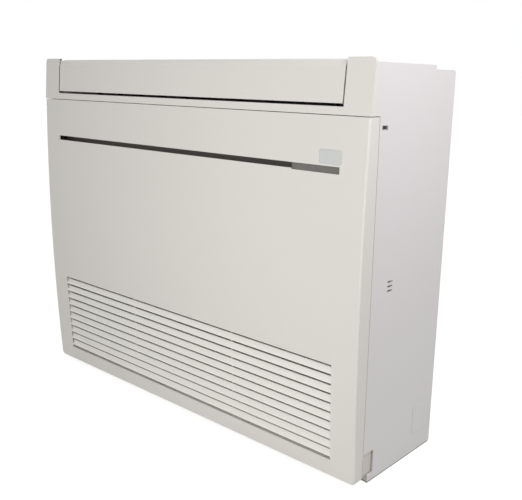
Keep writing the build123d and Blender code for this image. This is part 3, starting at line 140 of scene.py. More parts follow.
# Modelling helpers: everything is shaped in millimetres and scaled once at the end
def outline_face(mesh, points):
    """One flat face through the given corners."""
    return mesh.faces.new([mesh.verts.new(point) for point in points])


def corners_of(pulled):
    """The corners among the pieces of mesh that an extrusion made."""
    return [item for item in pulled if isinstance(item, bmesh.types.BMVert)]


def thicken(mesh, faces, move):
    """Gives a sheet its thickness by pulling it along a vector."""
    pulled = bmesh.ops.extrude_face_region(mesh, geom=faces)["geom"]
    bmesh.ops.translate(mesh, verts=corners_of(pulled), vec=move)


def prism(mesh, outline, start, end):
    """A YZ outline pulled along X."""
    face = outline_face(mesh, [(start, y, z) for y, z in outline])
    thicken(mesh, [face], (end - start, 0, 0))


def block(mesh, low, high):
    """A box between two corners."""
    made = bmesh.ops.create_cube(mesh, size=1.0)["verts"]
    size = [top - bottom for bottom, top in zip(low, high)]
    middle = [(top + bottom) / 2 for bottom, top in zip(low, high)]
    bmesh.ops.scale(mesh, verts=made, vec=size)
    bmesh.ops.translate(mesh, verts=made, vec=middle)


def strip_on_side(mesh, side, reach, low, high):
    """A box between two distances from the middle, on one side; low and high are its YZ corners."""
    inner, outer = sorted((side * reach[0], side * reach[1]))
    block(mesh, (inner, *low), (outer, *high))


def rod(mesh, centre, radius, start, end):
    """A round bar along X."""
    turn = Matrix.Translation(((start + end) / 2, *centre)) @ Matrix.Rotation(math.pi / 2, 4, "Y")
    bmesh.ops.create_cone(
        mesh, cap_ends=True, segments=32, radius1=radius, radius2=radius,
        depth=abs(end - start), matrix=turn,
    )


def bevel(mesh, parts, offset, segments, kind):
    """Rounds edges, or the corners of a flat sheet."""
    bmesh.ops.bevel(
        mesh, geom=parts, offset=offset, offset_type="OFFSET", segments=segments, profile=0.5,
        affect=kind, clamp_overlap=True, material=-1,
    )


def soften(mesh, offset, segments=2, smallest=30.0, edges=None):
    """Rounds the sharp edges of a mesh."""
    sharp = [
        edge for edge in edges or mesh.edges
        if len(edge.link_faces) == 2 and edge.calc_face_angle(0) > math.radians(smallest)
    ]
    bevel(mesh, sharp, offset, segments, "EDGES")


def cut(mesh, point, normal):
    """Divides the faces along a plane."""
    everything = mesh.verts[:] + mesh.edges[:] + mesh.faces[:]
    bmesh.ops.bisect_plane(mesh, geom=everything, dist=0.0001, plane_co=point, plane_no=normal)


def sheet_with_holes(mesh, size, lines, holes, rounds, axes="XZ"):
    """A flat sheet in the XZ or YZ plane: cut along lines, rectangles taken out, corners rounded."""
    (low_u, low_v), (high_u, high_v) = size
    if axes == "XZ":
        place = lambda u, v: Vector((u, 0, v))
    else:
        place = lambda u, v: Vector((0, u, v))
    around = ((low_u, low_v), (high_u, low_v), (high_u, high_v), (low_u, high_v))
    outline_face(mesh, [place(u, v) for u, v in around])
    for u in lines[0]:
        cut(mesh, place(u, 0), place(1, 0))
    for v in lines[1]:
        cut(mesh, place(0, v), place(0, 1))
    gone = []
    for face in mesh.faces:
        middle = face.calc_center_median()
        u, v = middle.dot(place(1, 0)), middle.dot(place(0, 1))
        if any(hole[0] < u < hole[2] and hole[1] < v < hole[3] for hole in holes):
            gone.append(face)
    bmesh.ops.delete(mesh, geom=gone, context="FACES")
    for (u, v), radius in rounds:
        corner = [vert for vert in mesh.verts if (vert.co - place(u, v)).length < 0.01]
        bevel(mesh, corner, radius, 8, "VERTICES")


def wall_behind(mesh, thickness):
    """Gives an open shell that faces the front (-Y) a wall on its inner side."""
    bmesh.ops.recalc_face_normals(mesh, faces=mesh.faces[:])
    mesh.normal_update()
    if sum(face.normal.y * face.calc_area() for face in mesh.faces) > 0:
        bmesh.ops.reverse_faces(mesh, faces=mesh.faces[:])
        mesh.normal_update()
    inward = {tuple(vert.co): -vert.normal * thickness for vert in mesh.verts}
    pulled = bmesh.ops.extrude_face_region(mesh, geom=mesh.faces[:])["geom"]
    for vert in corners_of(pulled):
        vert.co += inward[tuple(vert.co)]


def finished(name, mesh, body, material, stands_for=()):
    """Turns a shaped mesh into a piece that rides on a body."""
    bmesh.ops.recalc_face_normals(mesh, faces=mesh.faces[:])
    bmesh.ops.scale(mesh, verts=mesh.verts[:], vec=(MM, MM, MM))
    for face in mesh.faces:
        face.smooth = True
    for edge in mesh.edges:
        if len(edge.link_faces) == 2 and edge.calc_face_angle(0) > SHARP_ANGLE:
            edge.smooth = False
    data = bpy.data.meshes.new(name)
    mesh.to_mesh(data)
    mesh.free()
    data.materials.append(material)
    piece = bpy.data.objects.new(name, data)
    bpy.context.scene.collection.objects.link(piece)
    normals = piece.modifiers.new("even normals", "WEIGHTED_NORMAL")
    normals.keep_sharp = True
    normals.weight = 100
    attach(piece, body)
    if stands_for:
        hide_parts(*stands_for)


# Materials
class Value:
    """A shader socket that takes part in Python arithmetic."""

    def __init__(self, paint, socket):
        self.paint = paint
        self.socket = socket

    def math(self, operation, *others):
        inputs = {number: other for number, other in enumerate((self, *others))}
        return self.paint.add("ShaderNodeMath", {"operation": operation}, inputs)

    def __add__(self, other):
        return self.math("ADD", other)

    __radd__ = __add__

    def __mul__(self, other):
        return self.math("MULTIPLY", other)

    __rmul__ = __mul__

    def __sub__(self, other):
        return self.math("SUBTRACT", other)

    def __rsub__(self, other):
        return self.paint.add("ShaderNodeMath", {"operation": "SUBTRACT"}, {0: other, 1: self})

    def clamped(self):
        return self.paint.add("ShaderNodeClamp", {}, {"Value": self})


class Paint:
    """A material or a world under construction."""

    def __init__(self, owner):
        self.owner = owner
        owner.use_nodes = True
        self.tree = owner.node_tree
        is_material = isinstance(owner, bpy.types.Material)
        self.shader = self.tree.nodes["Principled BSDF" if is_material else "Background"]
        self.place = self.add("ShaderNodeTexCoord", {}, {}, "Object")

    def put(self, node, inputs):
        for key, value in inputs.items():
            if isinstance(value, Value):
                self.tree.links.new(value.socket, node.inputs[key])
            else:
                node.inputs[key].default_value = value

    def add(self, kind, settings, inputs, output=0):
        """Adds a node with its settings, its values and its links; returns one of its outputs."""
        node = self.tree.nodes.new(kind)
        for key, value in settings.items():
            setattr(node, key, value)
        self.put(node, inputs)
        return Value(self, node.outputs[output])

    def noise(self, scale, detail, roughness=0.5, at=None):
        inputs = {"Vector": at or self.place, "Scale": scale, "Detail": detail, "Roughness": roughness}
        return self.add("ShaderNodeTexNoise", {}, inputs)

    def stretched(self, scale):
        """Object coordinates stretched along the axes."""
        return self.add("ShaderNodeMapping", {}, {"Vector": self.place, "Scale": scale})

    def coordinate(self, axis):
        return self.add("ShaderNodeSeparateXYZ", {}, {"Vector": self.place}, axis)

    def mix(self, share, first, second):
        """A colour between two colours."""
        settings = {"data_type": "RGBA", "clamp_factor": True}
        return self.add("ShaderNodeMix", settings, {"Factor": share, 6: first, 7: second}, 2)

    def seen(self):
        """1 where the camera, a mirror or clear plastic looks at the surface."""
        camera, glossy, through = (
            self.add("ShaderNodeLightPath", {}, {}, f"Is {kind} Ray")
            for kind in ("Camera", "Glossy", "Transmission")
        )
        return camera.math("MAXIMUM", glossy).math("MAXIMUM", through)

    def set(self, **inputs):
        """Feeds sockets of the shader, which are named in lower case with underscores."""
        self.put(self.shader, {key.replace("_", " ").title(): value for key, value in inputs.items()})

    def bump(self, height, distance):
        inputs = {"Height": height, "Distance": distance, "Strength": 1.0}
        self.put(self.shader, {"Normal": self.add("ShaderNodeBump", {}, inputs, "Normal")})


def tone(red, green, blue):
    """A colour written as its sRGB bytes."""
    def linear(byte):
        share = byte / 255
        return share / 12.92 if share <= 0.04045 else ((share + 0.055) / 1.055) ** 2.4
    return (linear(red), linear(green), linear(blue), 1.0)


def moulded(name, light, dark, gloss, grain=0.00004, cloud=3.0):
    """Moulded plastic: faint clouds in the colour, a fine grain and a satin shine."""
    paint = Paint(bpy.data.materials.new(name))
    clouds = paint.noise(cloud, 2.0)
    paint.set(base_color=paint.mix(clouds, dark, light))
    wear = paint.noise(38.0, 4.0, 0.6)
    paint.set(roughness=gloss + (wear - 0.5) * 0.12)
    paint.bump(paint.noise(1600.0, 2.0) * 0.7 + paint.noise(90.0, 1.0) * 0.3, grain)
    return paint.owner


def metal(name, light, dark, gloss, streaks, metallic=1.0):
    """Sheet or tube metal with drawn streaks and a clouded shine."""
    paint = Paint(bpy.data.materials.new(name))
    drawn = paint.noise(60.0, 4.0, 0.6, paint.stretched(streaks))
    paint.set(base_color=paint.mix(drawn, dark, light), metallic=metallic)
    paint.set(roughness=gloss + (paint.noise(25.0, 3.0) - 0.5) * 0.2)
    paint.bump(drawn, 0.00003)
    return paint.owner


white_case = moulded("white_case", tone(232, 229, 229), tone(228, 225, 224), 0.36)
white_panel = moulded("white_panel", tone(233, 230, 224), tone(229, 226, 219), 0.34)
# The blades' plastic is the panel's white written lighter: painted light for the lit blade faces
louvre_painted_light = moulded("louvre_painted_light", tone(248, 246, 240), tone(244, 242, 235), 0.34)
window_plastic = moulded("window_plastic", tone(215, 216, 213), tone(211, 213, 210), 0.22)
lens_plastic = moulded("lens_plastic", tone(122, 120, 114), tone(90, 88, 83), 0.2, cloud=26.0)
grey_plastic = moulded("grey_plastic", tone(192, 192, 188), tone(180, 180, 176), 0.5, 0.00008)
scroll_plastic = moulded("scroll_plastic", tone(205, 204, 198), tone(196, 195, 190), 0.55, 0.0001)
black_plastic = moulded("black_plastic", tone(38, 38, 38), tone(28, 28, 29), 0.48, 0.00008)
button_plastic = moulded("button_plastic", tone(228, 226, 220), tone(222, 220, 214), 0.3)
motor_resin = moulded("motor_resin", tone(222, 219, 208), tone(208, 204, 193), 0.5, 0.00012, 18.0)
filter_plastic = moulded("filter_plastic", tone(114, 111, 102), tone(104, 101, 93), 0.45, 0.00008)
# Dark plastic used only as painted shade, on the strips at the outlet's ends
painted_gap_shade = moulded("painted_gap_shade", tone(116, 112, 104), tone(108, 104, 96), 0.5, 0.00008)
sensor_coat = moulded("sensor_coat", tone(52, 52, 54), tone(40, 40, 42), 0.4)
bearing_rubber = moulded("bearing_rubber", tone(44, 44, 45), tone(32, 32, 33), 0.7, 0.0001)
zinc = metal("zinc", tone(196, 198, 200), tone(172, 175, 178), 0.38, (0.3, 6.0, 6.0), 0.85)
bright_steel = metal("bright_steel", tone(208, 208, 206), tone(190, 190, 188), 0.25, (0.1, 8.0, 8.0))
copper = metal("copper", tone(205, 132, 98), tone(186, 112, 80), 0.26, (2.0, 2.0, 0.2))
brass = metal("brass", tone(206, 178, 112), tone(190, 160, 96), 0.28, (6.0, 6.0, 0.4))


def circuit():
    """Green laminate with paler tracks."""
    paint = Paint(bpy.data.materials.new("circuit_board"))
    settings = {"distance": "CHEBYCHEV", "feature": "DISTANCE_TO_EDGE"}
    cells = paint.add("ShaderNodeTexVoronoi", settings, {"Vector": paint.place, "Scale": 110.0})
    tracks = cells.math("LESS_THAN", 0.05)
    paint.set(base_color=paint.mix(tracks, tone(34, 98, 58), tone(62, 128, 84)), roughness=0.45)
    paint.bump(tracks, 0.00005)
    return paint.owner


def net():
    """Fine woven net: a grid of threads with openings between them."""
    paint = Paint(bpy.data.materials.new("filter_net"))
    across, along = (
        (paint.coordinate(axis) * 2400.0).math("SINE").math("GREATER_THAN", 0.1) for axis in ("X", "Z")
    )
    threads = across.math("MAXIMUM", along)
    shade = paint.noise(9.0, 2.0)
    paint.set(base_color=paint.mix(shade, tone(118, 115, 105), tone(130, 127, 116)), roughness=0.6)
    paint.set(alpha=threads * 0.35 + 0.6)
    paint.bump(threads, 0.0001)
    return paint.owner


def fins():
    """Aluminium fins, drawn as fine upright lines."""
    paint = Paint(bpy.data.materials.new("coil_fins"))
    lines = (paint.coordinate("X") * 3600.0).math("SINE") * 0.5 + 0.5
    patches = paint.noise(14.0, 3.0)
    share = lines * 0.6 + patches * 0.4
    paint.set(base_color=paint.mix(share, tone(150, 160, 168), tone(206, 212, 216)), metallic=0.7)
    paint.set(roughness=0.34 + patches * 0.15)
    paint.bump(lines, 0.0002)
    return paint.owner


def two_tones(name, height, below, above, metallic=0.0):
    """A material whose tone changes at a height in metres."""
    paint = Paint(bpy.data.materials.new(name))
    over = paint.coordinate("Z").math("GREATER_THAN", height)
    clouds = paint.noise(12.0, 3.0) * 0.06
    paint.set(base_color=paint.mix((over - clouds).clamped(), below, above), metallic=metallic)
    paint.set(roughness=0.5 + clouds)
    paint.bump(paint.noise(900.0, 2.0), 0.00004)
    return paint.owner


# The inner frame is darkened as painted shade, so the slot and gaps behind the panel read dark, and its
# hinge cheeks are a white toned down as painted shade for the shaded pocket; the base plate is darker at
# its lowest edge as a painted shadow line
CHEEK_TOP, SHADOW_LINE_TOP = 0.056, 0.0026
inner_painted_shade = two_tones("inner_painted_shade", CHEEK_TOP, tone(224, 218, 211), tone(114, 110, 102))
# Painted shadow: the lowest few millimetres of the base plate are dark, for the shadow line under the
# casings
zinc_painted_shadow = two_tones("zinc_painted_shadow", SHADOW_LINE_TOP, tone(132, 131, 126), tone(212, 208, 202), 0.3)
circuit_board = circuit()
filter_net = net()
coil_fins = fins()
paint_of_slot = {
    "white_plastic": white_case,
    "window_plastic": window_plastic,
    "lens_plastic": lens_plastic,
    "zinc_steel": zinc,
    "grey_plastic": grey_plastic,
    "pale_foam_plastic": scroll_plastic,
    "black_plastic": black_plastic,
    "fin_aluminium": coil_fins,
    "copper": copper,
    "union_brass": brass,
    "motor_resin": motor_resin,
    "steel": bright_steel,
    "bearing_rubber": bearing_rubber,
    "circuit_board": circuit_board,
    "button_plastic": button_plastic,
    "filter_plastic": filter_plastic,
    "filter_net": filter_net,
    "sensor_head": sensor_coat,
}
paint_of_node = {"inner_frame": inner_painted_shade, "base_plate": zinc_painted_shadow}
for entry in frame["record"]["subparts"]:
    of_slot = paint_of_slot[entry["material_slot"]]
    materials = nodes[entry["node"]].data.materials
    materials.clear()
    materials.append(paint_of_node.get(entry["node"], of_slot))

# Front panel: skin with its openings, then the rim behind it
panel = bmesh.new()
slot_low, slot_high = SLOT_MIDDLE - SLOT_HEIGHT / 2, SLOT_MIDDLE + SLOT_HEIGHT / 2
lens_start = FEATURE - LENS_LENGTH
window_box = (
    WINDOW_X - WINDOW_HALF[0], WINDOW_Z - WINDOW_HALF[1],
    WINDOW_X + WINDOW_HALF[0], WINDOW_Z + WINDOW_HALF[1],
)
openings = [
    (-FEATURE, slot_low, FEATURE, slot_high),
    (lens_start, slot_low - LENS_DROP, FEATURE, slot_high),
    window_box,
    (-FEATURE, LOUVRE_LOW, FEATURE, LOUVRE_HIGH),
]
cross_lines = [-FEATURE, FEATURE, lens_start, window_box[0], window_box[2]]
level_lines = [slot_low, slot_high, slot_low - LENS_DROP, window_box[1], window_box[3]]
level_lines += [LOUVRE_LOW, LOUVRE_HIGH]
level_lines += [PANEL_BOTTOM + 10.0 * number for number in range(1, 52)]
rounds = [((-FEATURE, slot_low), SLOT_ROUND), ((-FEATURE, slot_high), SLOT_ROUND)]
for x in (window_box[0], window_box[2]):
    rounds += [((x, z), WINDOW_ROUND) for z in (window_box[1], window_box[3])]
flat_side, flat_bottom = SIDE - EDGE_ROUND, PANEL_BOTTOM + EDGE_ROUND
rounds += [((side * flat_side, flat_bottom), CORNER_ROUND - EDGE_ROUND) for side in (-1, 1)]
flat_size = ((-flat_side, flat_bottom), (flat_side, PANEL_TOP))
sheet_with_holes(panel, flat_size, (cross_lines, level_lines), openings, rounds)


def on_outline(vert):
    """True for the corners of the panel's outline, and false for those of its openings."""
    beside = abs(vert.co.x) > SIDE - CORNER_ROUND - 1.0
    return beside or vert.co.z < PANEL_BOTTOM + CORNER_ROUND or vert.co.z > PANEL_TOP - 0.1


outline = [
    edge for edge in panel.edges if edge.is_boundary and all(on_outline(vert) for vert in edge.verts)
]
for vert in panel.verts:
    vert.co.y = front_at(vert.co.z)


def outward(vert):
    """The way out of the panel's outline: sideways, down, or round the lower corners."""
    reach = SIDE - CORNER_ROUND
    inner_x = min(max(vert.co.x, -reach), reach)
    inner_z = min(max(vert.co.z, PANEL_BOTTOM + CORNER_ROUND), PANEL_TOP)
    way = Vector((vert.co.x, 0, vert.co.z)) - Vector((inner_x, 0, inner_z))
    return way.normalized() if way.length > 0.001 else way


# The front turns into the rim round a quarter circle
for step in range(RIM_STEPS):
    start, end = math.pi / 2 * step / RIM_STEPS, math.pi / 2 * (step + 1) / RIM_STEPS
    forward = EDGE_ROUND * (math.sin(end) - math.sin(start))
    back = EDGE_ROUND * (math.cos(start) - math.cos(end))
    pulled = bmesh.ops.extrude_edge_only(panel, edges=outline)["geom"]
    for vert in corners_of(pulled):
        vert.co += outward(vert) * forward + Vector((0, back, 0))
    outline = [item for item in pulled if isinstance(item, bmesh.types.BMEdge) and item.is_boundary]
for vert in corners_of(bmesh.ops.extrude_edge_only(panel, edges=outline)["geom"]):
    vert.co.y = PANEL_RIM
wall_behind(panel, CASING_WALL)
finished("front_panel_skin", panel, "front_panel", white_panel, ["front_panel"])

# Louvre blades: each slopes out to a rounded lip that is flush with the front
louvres = bmesh.new()
for row in range(LOUVRE_COUNT):
    lip = LOUVRE_LOW + LOUVRE_GAP + row * LOUVRE_PITCH
    crest = lip + LOUVRE_PITCH - LOUVRE_GAP
    blade = bmesh.new()
    prism(
        blade,
        [
            (front_at(lip), lip),
            (front_at(lip) + LOUVRE_SHEET, lip),
            (front_at(crest) + LOUVRE_DEPTH + LOUVRE_SHEET, crest),
            (front_at(crest) + LOUVRE_DEPTH, crest),
        ],
        -FEATURE - LOUVRE_OVERLAP,
        FEATURE + LOUVRE_OVERLAP,
    )
    lengthwise = [edge for edge in blade.edges if abs(edge.verts[0].co.x - edge.verts[1].co.x) > 1.0]
    soften(blade, 0.5, 3, edges=lengthwise)
    shaped = bpy.data.meshes.new("blade")
    blade.to_mesh(shaped)
    blade.free()
    louvres.from_mesh(shaped)
    bpy.data.meshes.remove(shaped)
# The sill under the lowest gap
prism(
    louvres,
    [
        (front_at(LOUVRE_LOW) + 2.2, LOUVRE_LOW - 1.8),
        (front_at(LOUVRE_LOW) + 8.0, LOUVRE_LOW - 1.8),
        (front_at(LOUVRE_LOW) + 8.0, LOUVRE_LOW),
        (front_at(LOUVRE_LOW) + 2.2, LOUVRE_LOW),
    ],
    -FEATURE,
    FEATURE,
)
finished("front_panel_louvres", louvres, "front_panel", louvre_painted_light)

# Ribs, hinge arms and catch tongues behind the skin
carriers = bmesh.new()
for start, end, setback in (
    (-FEATURE - CASING_WALL, -FEATURE, 1.0),
    (FEATURE, FEATURE + CASING_WALL, 1.0),
    (-SIDE / 3, -SIDE / 3 + 2.0, LOUVRE_DEPTH + 1.0),
    (SIDE / 3, SIDE / 3 + 2.0, LOUVRE_DEPTH + 1.0),
):
    prism(
        carriers,
        [
            (front_at(LOUVRE_LOW) + setback, LOUVRE_LOW - 2.5),
            (front_at(LOUVRE_HIGH) + setback, LOUVRE_HIGH + 2.5),
            (front_at(LOUVRE_HIGH) + 9.0, LOUVRE_HIGH + 2.5),
            (front_at(LOUVRE_LOW) + 9.0, LOUVRE_LOW - 2.5),
        ],
        start,
        end,
    )
for side in (-1, 1):
    arm = side * (SIDE - 22.5)
    rod(carriers, HINGE, HINGE_BOSS, arm - PANEL_ARM_HALF, arm + PANEL_ARM_HALF)
    rod(carriers, HINGE, HINGE_PIN, arm, side * (SIDE - 11.0))
    prism(
        carriers,
        [
            (front_at(HINGE[1]) + 1.0, HINGE[1] - HINGE_BOSS),
            (HINGE[0], HINGE[1] - HINGE_BOSS),
            (HINGE[0] + HINGE_BOSS, HINGE[1]),
            (front_at(HINGE[1]) + 1.0, HINGE[1] + 25.6),
        ],
        arm - PANEL_ARM_HALF,
        arm + PANEL_ARM_HALF,
    )
    strip_on_side(
        carriers, side, (INNER_SIDE - 14.5, INNER_SIDE - 4.0),
        (front_at(CATCH_Z) + 2.0, CATCH_Z - 1.3), (CASING_FRONT + 18.0, CATCH_Z + 1.3),
    )
soften(carriers, 0.3, 1)
finished("front_panel_carriers", carriers, "front_panel", white_panel)

# Receiver window and display lens
window = bmesh.new()
low_x, low_z = window_box[0] + WINDOW_PLAY, window_box[1] + WINDOW_PLAY
high_x, high_z = window_box[2] - WINDOW_PLAY, window_box[3] - WINDOW_PLAY
rounds = [((x, z), WINDOW_ROUND - WINDOW_PLAY) for x in (low_x, high_x) for z in (low_z, high_z)]
sheet_with_holes(window, ((low_x, low_z), (high_x, high_z)), ([], []), [], rounds)
for vert in window.verts:
    vert.co.y = front_at(vert.co.z)
thicken(window, window.faces[:], (0, CASING_WALL, 0))
soften(window, 0.25, 2)
finished(
    "receiver_window_cover", window, "front_panel", window_plastic, ["receiver_window"]
)

lens_low, lens_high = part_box("display_lens")
lens = bmesh.new()
block(lens, lens_low / MM, lens_high / MM)
soften(lens, 0.5, 3)
finished("display_lens_bar", lens, "front_panel", lens_plastic, ["display_lens"])

# Band over the panel, with the flap's opening
band = bmesh.new()
sheet_with_holes(
    band,
    ((-SIDE, SEAM), (SIDE, HEIGHT)),
    ([-FEATURE, FEATURE], [SILL]),
    [(-FEATURE, SILL, FEATURE, HEIGHT)],
    [((-SIDE, HEIGHT), 7.0), ((SIDE, HEIGHT), 7.0), ((-FEATURE, SILL), 1.0), ((FEATURE, SILL), 1.0)],
)
thicken(band, band.faces[:], (0, 1.0, 0))
for vert in band.verts:
    vert.co.y = RIM if vert.co.y > 0.5 else band_at(vert.co.z)
soften(band, 0.7, 3)
for side in (-1, 1):
    # Top beside the outlet, its end wall, and the filler at the flap's upper end
    strip_on_side(
        band, side, (FEATURE, INNER_SIDE), (RIM - 0.5, CASE_TOP - 3.0), (OUTLET_REAR + 4.0, CASE_TOP)
    )
    prism(
        band,
        [
            (band_at(SEAM) + 1.0, SEAM + 3.0),
            (BAND_TOP + 1.0, HEIGHT - 1.0),
            (RIM, HEIGHT - 1.0),
            (RIM, CASE_TOP - 1.0),
            (OUTLET_REAR - 1.0, CASE_TOP - 1.0),
            (OUTLET_REAR - 1.0, CASE_TOP - 30.0),
            (band_at(SEAM) + 22.0, SEAM + 3.0),
        ],
        side * FEATURE,
        side * (FEATURE + 3.0),
    )
    prism(
        band,
        [
            (BAND_TOP + 1.3, HEIGHT - 11.8),
            (BAND_TOP + 1.8, HEIGHT - 3.0),
            (OUTLET_REAR, HEIGHT - 4.0),
            (OUTLET_REAR, HEIGHT - 9.5),
            (PIVOT[0] - 5.0, HEIGHT - 9.5),
            (PIVOT[0] - 6.0, HEIGHT - 11.8),
        ],
        side * (FEATURE - 1.9),
        side * (FEATURE + 0.2),
    )
block(band, (-FEATURE, OUTLET_REAR, CASE_TOP - 3.0), (FEATURE, OUTLET_REAR + 4.0, CASE_TOP))
block(band, (-FEATURE, band_at(SILL) + 2.0, SILL - 2.0), (FEATURE, CASING_FRONT + 3.0, SILL))
finished("outlet_band", band, "cabinet", white_panel, ["outlet_frame"])

# Dark strips on the ends of the outlet, beside the flap: painted shade that stands for the shaded walls of
# the gaps there
strips = bmesh.new()
for side in (-1, 1):
    prism(
        strips,
        [
            (band_at(SILL + 2.0) + 0.2, SILL + 2.0),
            (band_at(CASE_TOP - 6.0) + 0.2, CASE_TOP - 6.0),
            (band_at(CASE_TOP - 6.0) + 5.0, CASE_TOP - 6.0),
            (band_at(SILL + 2.0) + 5.0, SILL + 2.0),
        ],
        side * (FEATURE - 1.6),
        side * (FEATURE + 0.2),
    )
finished("outlet_end_shade_strips", strips, "cabinet", painted_gap_shade)


def arc_from(start, direction, end):
    """Points on the arc that leaves a point in a direction and ends at another, and its last direction."""
    start, direction, end = Vector(start), Vector(direction).normalized(), Vector(end)
    chord = end - start
    normal = Vector((-direction.y, direction.x))
    radius = chord.length_squared / (2 * chord.dot(normal))
    centre = start + normal * radius
    sweep = 2 * math.atan2(chord.dot(normal), chord.dot(direction))
    points = []
    for step in range(1, ARC_STEPS + 1):
        turn = Matrix.Rotation(sweep * step / ARC_STEPS, 2)
        points.append(centre + turn @ (start - centre))
    return points, Matrix.Rotation(sweep, 2) @ direction


# Outlet flap: face, rounded top edge and tail
foot = Vector((band_at(FLAP_LOW), FLAP_LOW))
shoulder = Vector((band_at(HEIGHT - 14.0), HEIGHT - 14.0))
nose, heading = arc_from(shoulder, shoulder - foot, (FRONT + 22.5, HEIGHT - 2.3))
tail, _ = arc_from(nose[-1], heading, (OUTLET_REAR - 4.0, HEIGHT - 3.2))
skin_line = [foot, shoulder, *nose, *tail]
inside_line = []
for number, point in enumerate(skin_line):
    before, after = skin_line[max(number - 1, 0)], skin_line[min(number + 1, len(skin_line) - 1)]
    along = (after - before).normalized()
    inside_line.append(point + FLAP_SHEET * Vector((along.y, -along.x)))
flap = bmesh.new()
prism(flap, skin_line + inside_line[::-1], -FLAP_HALF, FLAP_HALF)
bmesh.ops.recalc_face_normals(flap, faces=flap.faces[:])
soften(flap, 0.6, 3, 40.0)
block(
    flap,
    (-FLAP_HALF + 0.7, foot.x + 1.5, FLAP_LOW + 0.1),
    (FLAP_HALF - 0.7, foot.x + 7.0, FLAP_LOW + 2.5),
)
for side in (-1, 1):
    arm = side * (FLAP_HALF - 3.0)
    rod(flap, PIVOT, PIVOT_BOSS, arm - FLAP_ARM_HALF, arm + FLAP_ARM_HALF)
    rod(flap, PIVOT, PIVOT_PIN, arm, side * (FEATURE + 10.0))
    prism(
        flap,
        [
            (foot.x + 1.5, FLAP_LOW + 1.0),
            (foot.x + 7.0, FLAP_LOW + 1.0),
            (PIVOT[0] + 5.0, PIVOT[1] - 3.0),
            (PIVOT[0] + 2.0, HEIGHT - 3.6),
            (FRONT + 22.5, HEIGHT - 3.6),
            (shoulder.x + 1.5, shoulder.y),
        ],
        arm - FLAP_ARM_HALF,
        arm + FLAP_ARM_HALF,
    )
finished("outlet_flap_shell", flap, "outlet_flap", white_panel, ["outlet_flap"])


# Side casings, each with the groove of its knock-out sunk in the outer face, shallower than the part's
POCKET_REAR, POCKET_LOW, POCKET_HIGH, TOE = FRONT + 52.5, 13.5, 50.0, FRONT + 39.5
CATCH_LOW = (CASING_FRONT + 12.4 - 6.75, CATCH_Z - 3.0)
CATCH_HIGH = (CASING_FRONT + 12.4 + 6.75, CATCH_Z + 3.0)
PROBE = (FRONT + 71.5, 294.2)
PROBE_HALF, PROBE_PITCH, PROBE_SLOT_HALF = 6.5, 6.5, 1.5
KNOCKOUT, GROOVE, GROOVE_DEPTH = (WALL - 57.0, 32.0, 85.0), 1.2, 0.4
for side, side_name in ((-1, "left"), (1, "right")):
    casing = bmesh.new()
    gone = [
        (-DEPTH, 0, CASING_FRONT, SEAM), (REAR_STEP, REAR_TOP, DEPTH, HEIGHT),
        (-DEPTH, 0, TOE, POCKET_LOW), (-DEPTH, POCKET_LOW, POCKET_REAR, POCKET_HIGH),
        (*CATCH_LOW, *CATCH_HIGH),
    ]
    crossings = [CASING_FRONT, REAR_STEP, TOE, POCKET_REAR, CATCH_LOW[0], CATCH_HIGH[0]]
    crossings += [KNOCKOUT[0], KNOCKOUT[0] + GROOVE]
    levels = [SEAM, REAR_TOP, POCKET_LOW, POCKET_HIGH, CATCH_LOW[1], CATCH_HIGH[1]]
    levels += [KNOCKOUT[1], KNOCKOUT[1] + GROOVE, KNOCKOUT[2] - GROOVE, KNOCKOUT[2]]
    turned = [((WALL, REAR_TOP), 5.0), ((POCKET_REAR, POCKET_HIGH), 2.0)]
    if side > 0:
        near, far = PROBE[0] - PROBE_HALF, PROBE[0] + PROBE_HALF
        crossings += [near, far]
        for step in (-1, 0, 1):
            middle = PROBE[1] + PROBE_PITCH * step
            low, high = middle - PROBE_SLOT_HALF, middle + PROBE_SLOT_HALF
            gone.append((near, low, far, high))
            levels += [low, high]
            turned += [((y, z), 1.4) for y in (near, far) for z in (low, high)]
    size = ((RIM, BASE_SHEET), (WALL, CASE_TOP))
    sheet_with_holes(casing, size, (crossings, levels), gone, turned, "YZ")
    thicken(casing, casing.faces[:], (1, 0, 0))
    for vert in casing.verts:
        vert.co.x = side * (SIDE if vert.co.x > 0.5 else INNER_SIDE)
    bmesh.ops.recalc_face_normals(casing, faces=casing.faces[:])
    soften(casing, 0.5, 2)
    groove = []
    for face in casing.faces:
        middle = face.calc_center_median()
        upright = middle.y < KNOCKOUT[0] + GROOVE
        level = middle.z < KNOCKOUT[1] + GROOVE or middle.z > KNOCKOUT[2] - GROOVE
        within = KNOCKOUT[0] < middle.y < WALL - 0.5 and KNOCKOUT[1] < middle.z < KNOCKOUT[2]
        if within and (upright or level) and middle.x * side > SIDE - 0.01:
            groove.append(face)
    thicken(casing, groove, (-side * GROOVE_DEPTH, 0, 0))
    bmesh.ops.delete(casing, geom=[face for face in groove if face.is_valid], context="FACES_ONLY")
    # Flanges that turn in at the front and rear edges
    for edge_y, low, high in (
        (CASING_FRONT, POCKET_HIGH + 16.0, CATCH_Z - 12.0),
        (WALL - 5.5, 13.0, 170.0),
        (WALL - 5.5, 230.0, REAR_TOP - 10.0),
    ):
        reach = (INNER_SIDE - 18.0, INNER_SIDE + 0.5)
        strip_on_side(casing, side, reach, (edge_y + 0.02, low), (edge_y + 2.5, high))
    node = f"side_casing_{side_name}"
    finished(f"{node}_shell", casing, "cabinet", white_case, [node])

# Dark edge of the base under the casings, a painted shadow line, and the backs of the hinge pockets in the
# cheeks' toned-down white
edges = bmesh.new()
backs = bmesh.new()
for side in (-1, 1):
    strip_on_side(
        edges, side, (INNER_SIDE - 1.0, SIDE - 0.6), (TOE + 0.6, 0.2), (WALL - 1.0, BASE_SHEET - 0.1)
    )
    strip_on_side(
        backs, side, (INNER_SIDE - 2.4, INNER_SIDE - 1.2),
        (POCKET_REAR - 4.0, POCKET_LOW + 0.2), (POCKET_REAR + 4.0, POCKET_HIGH + 3.0),
    )
finished("base_shadow_line", edges, "cabinet", zinc_painted_shadow)
finished("hinge_pocket_backs", backs, "cabinet", inner_painted_shade)

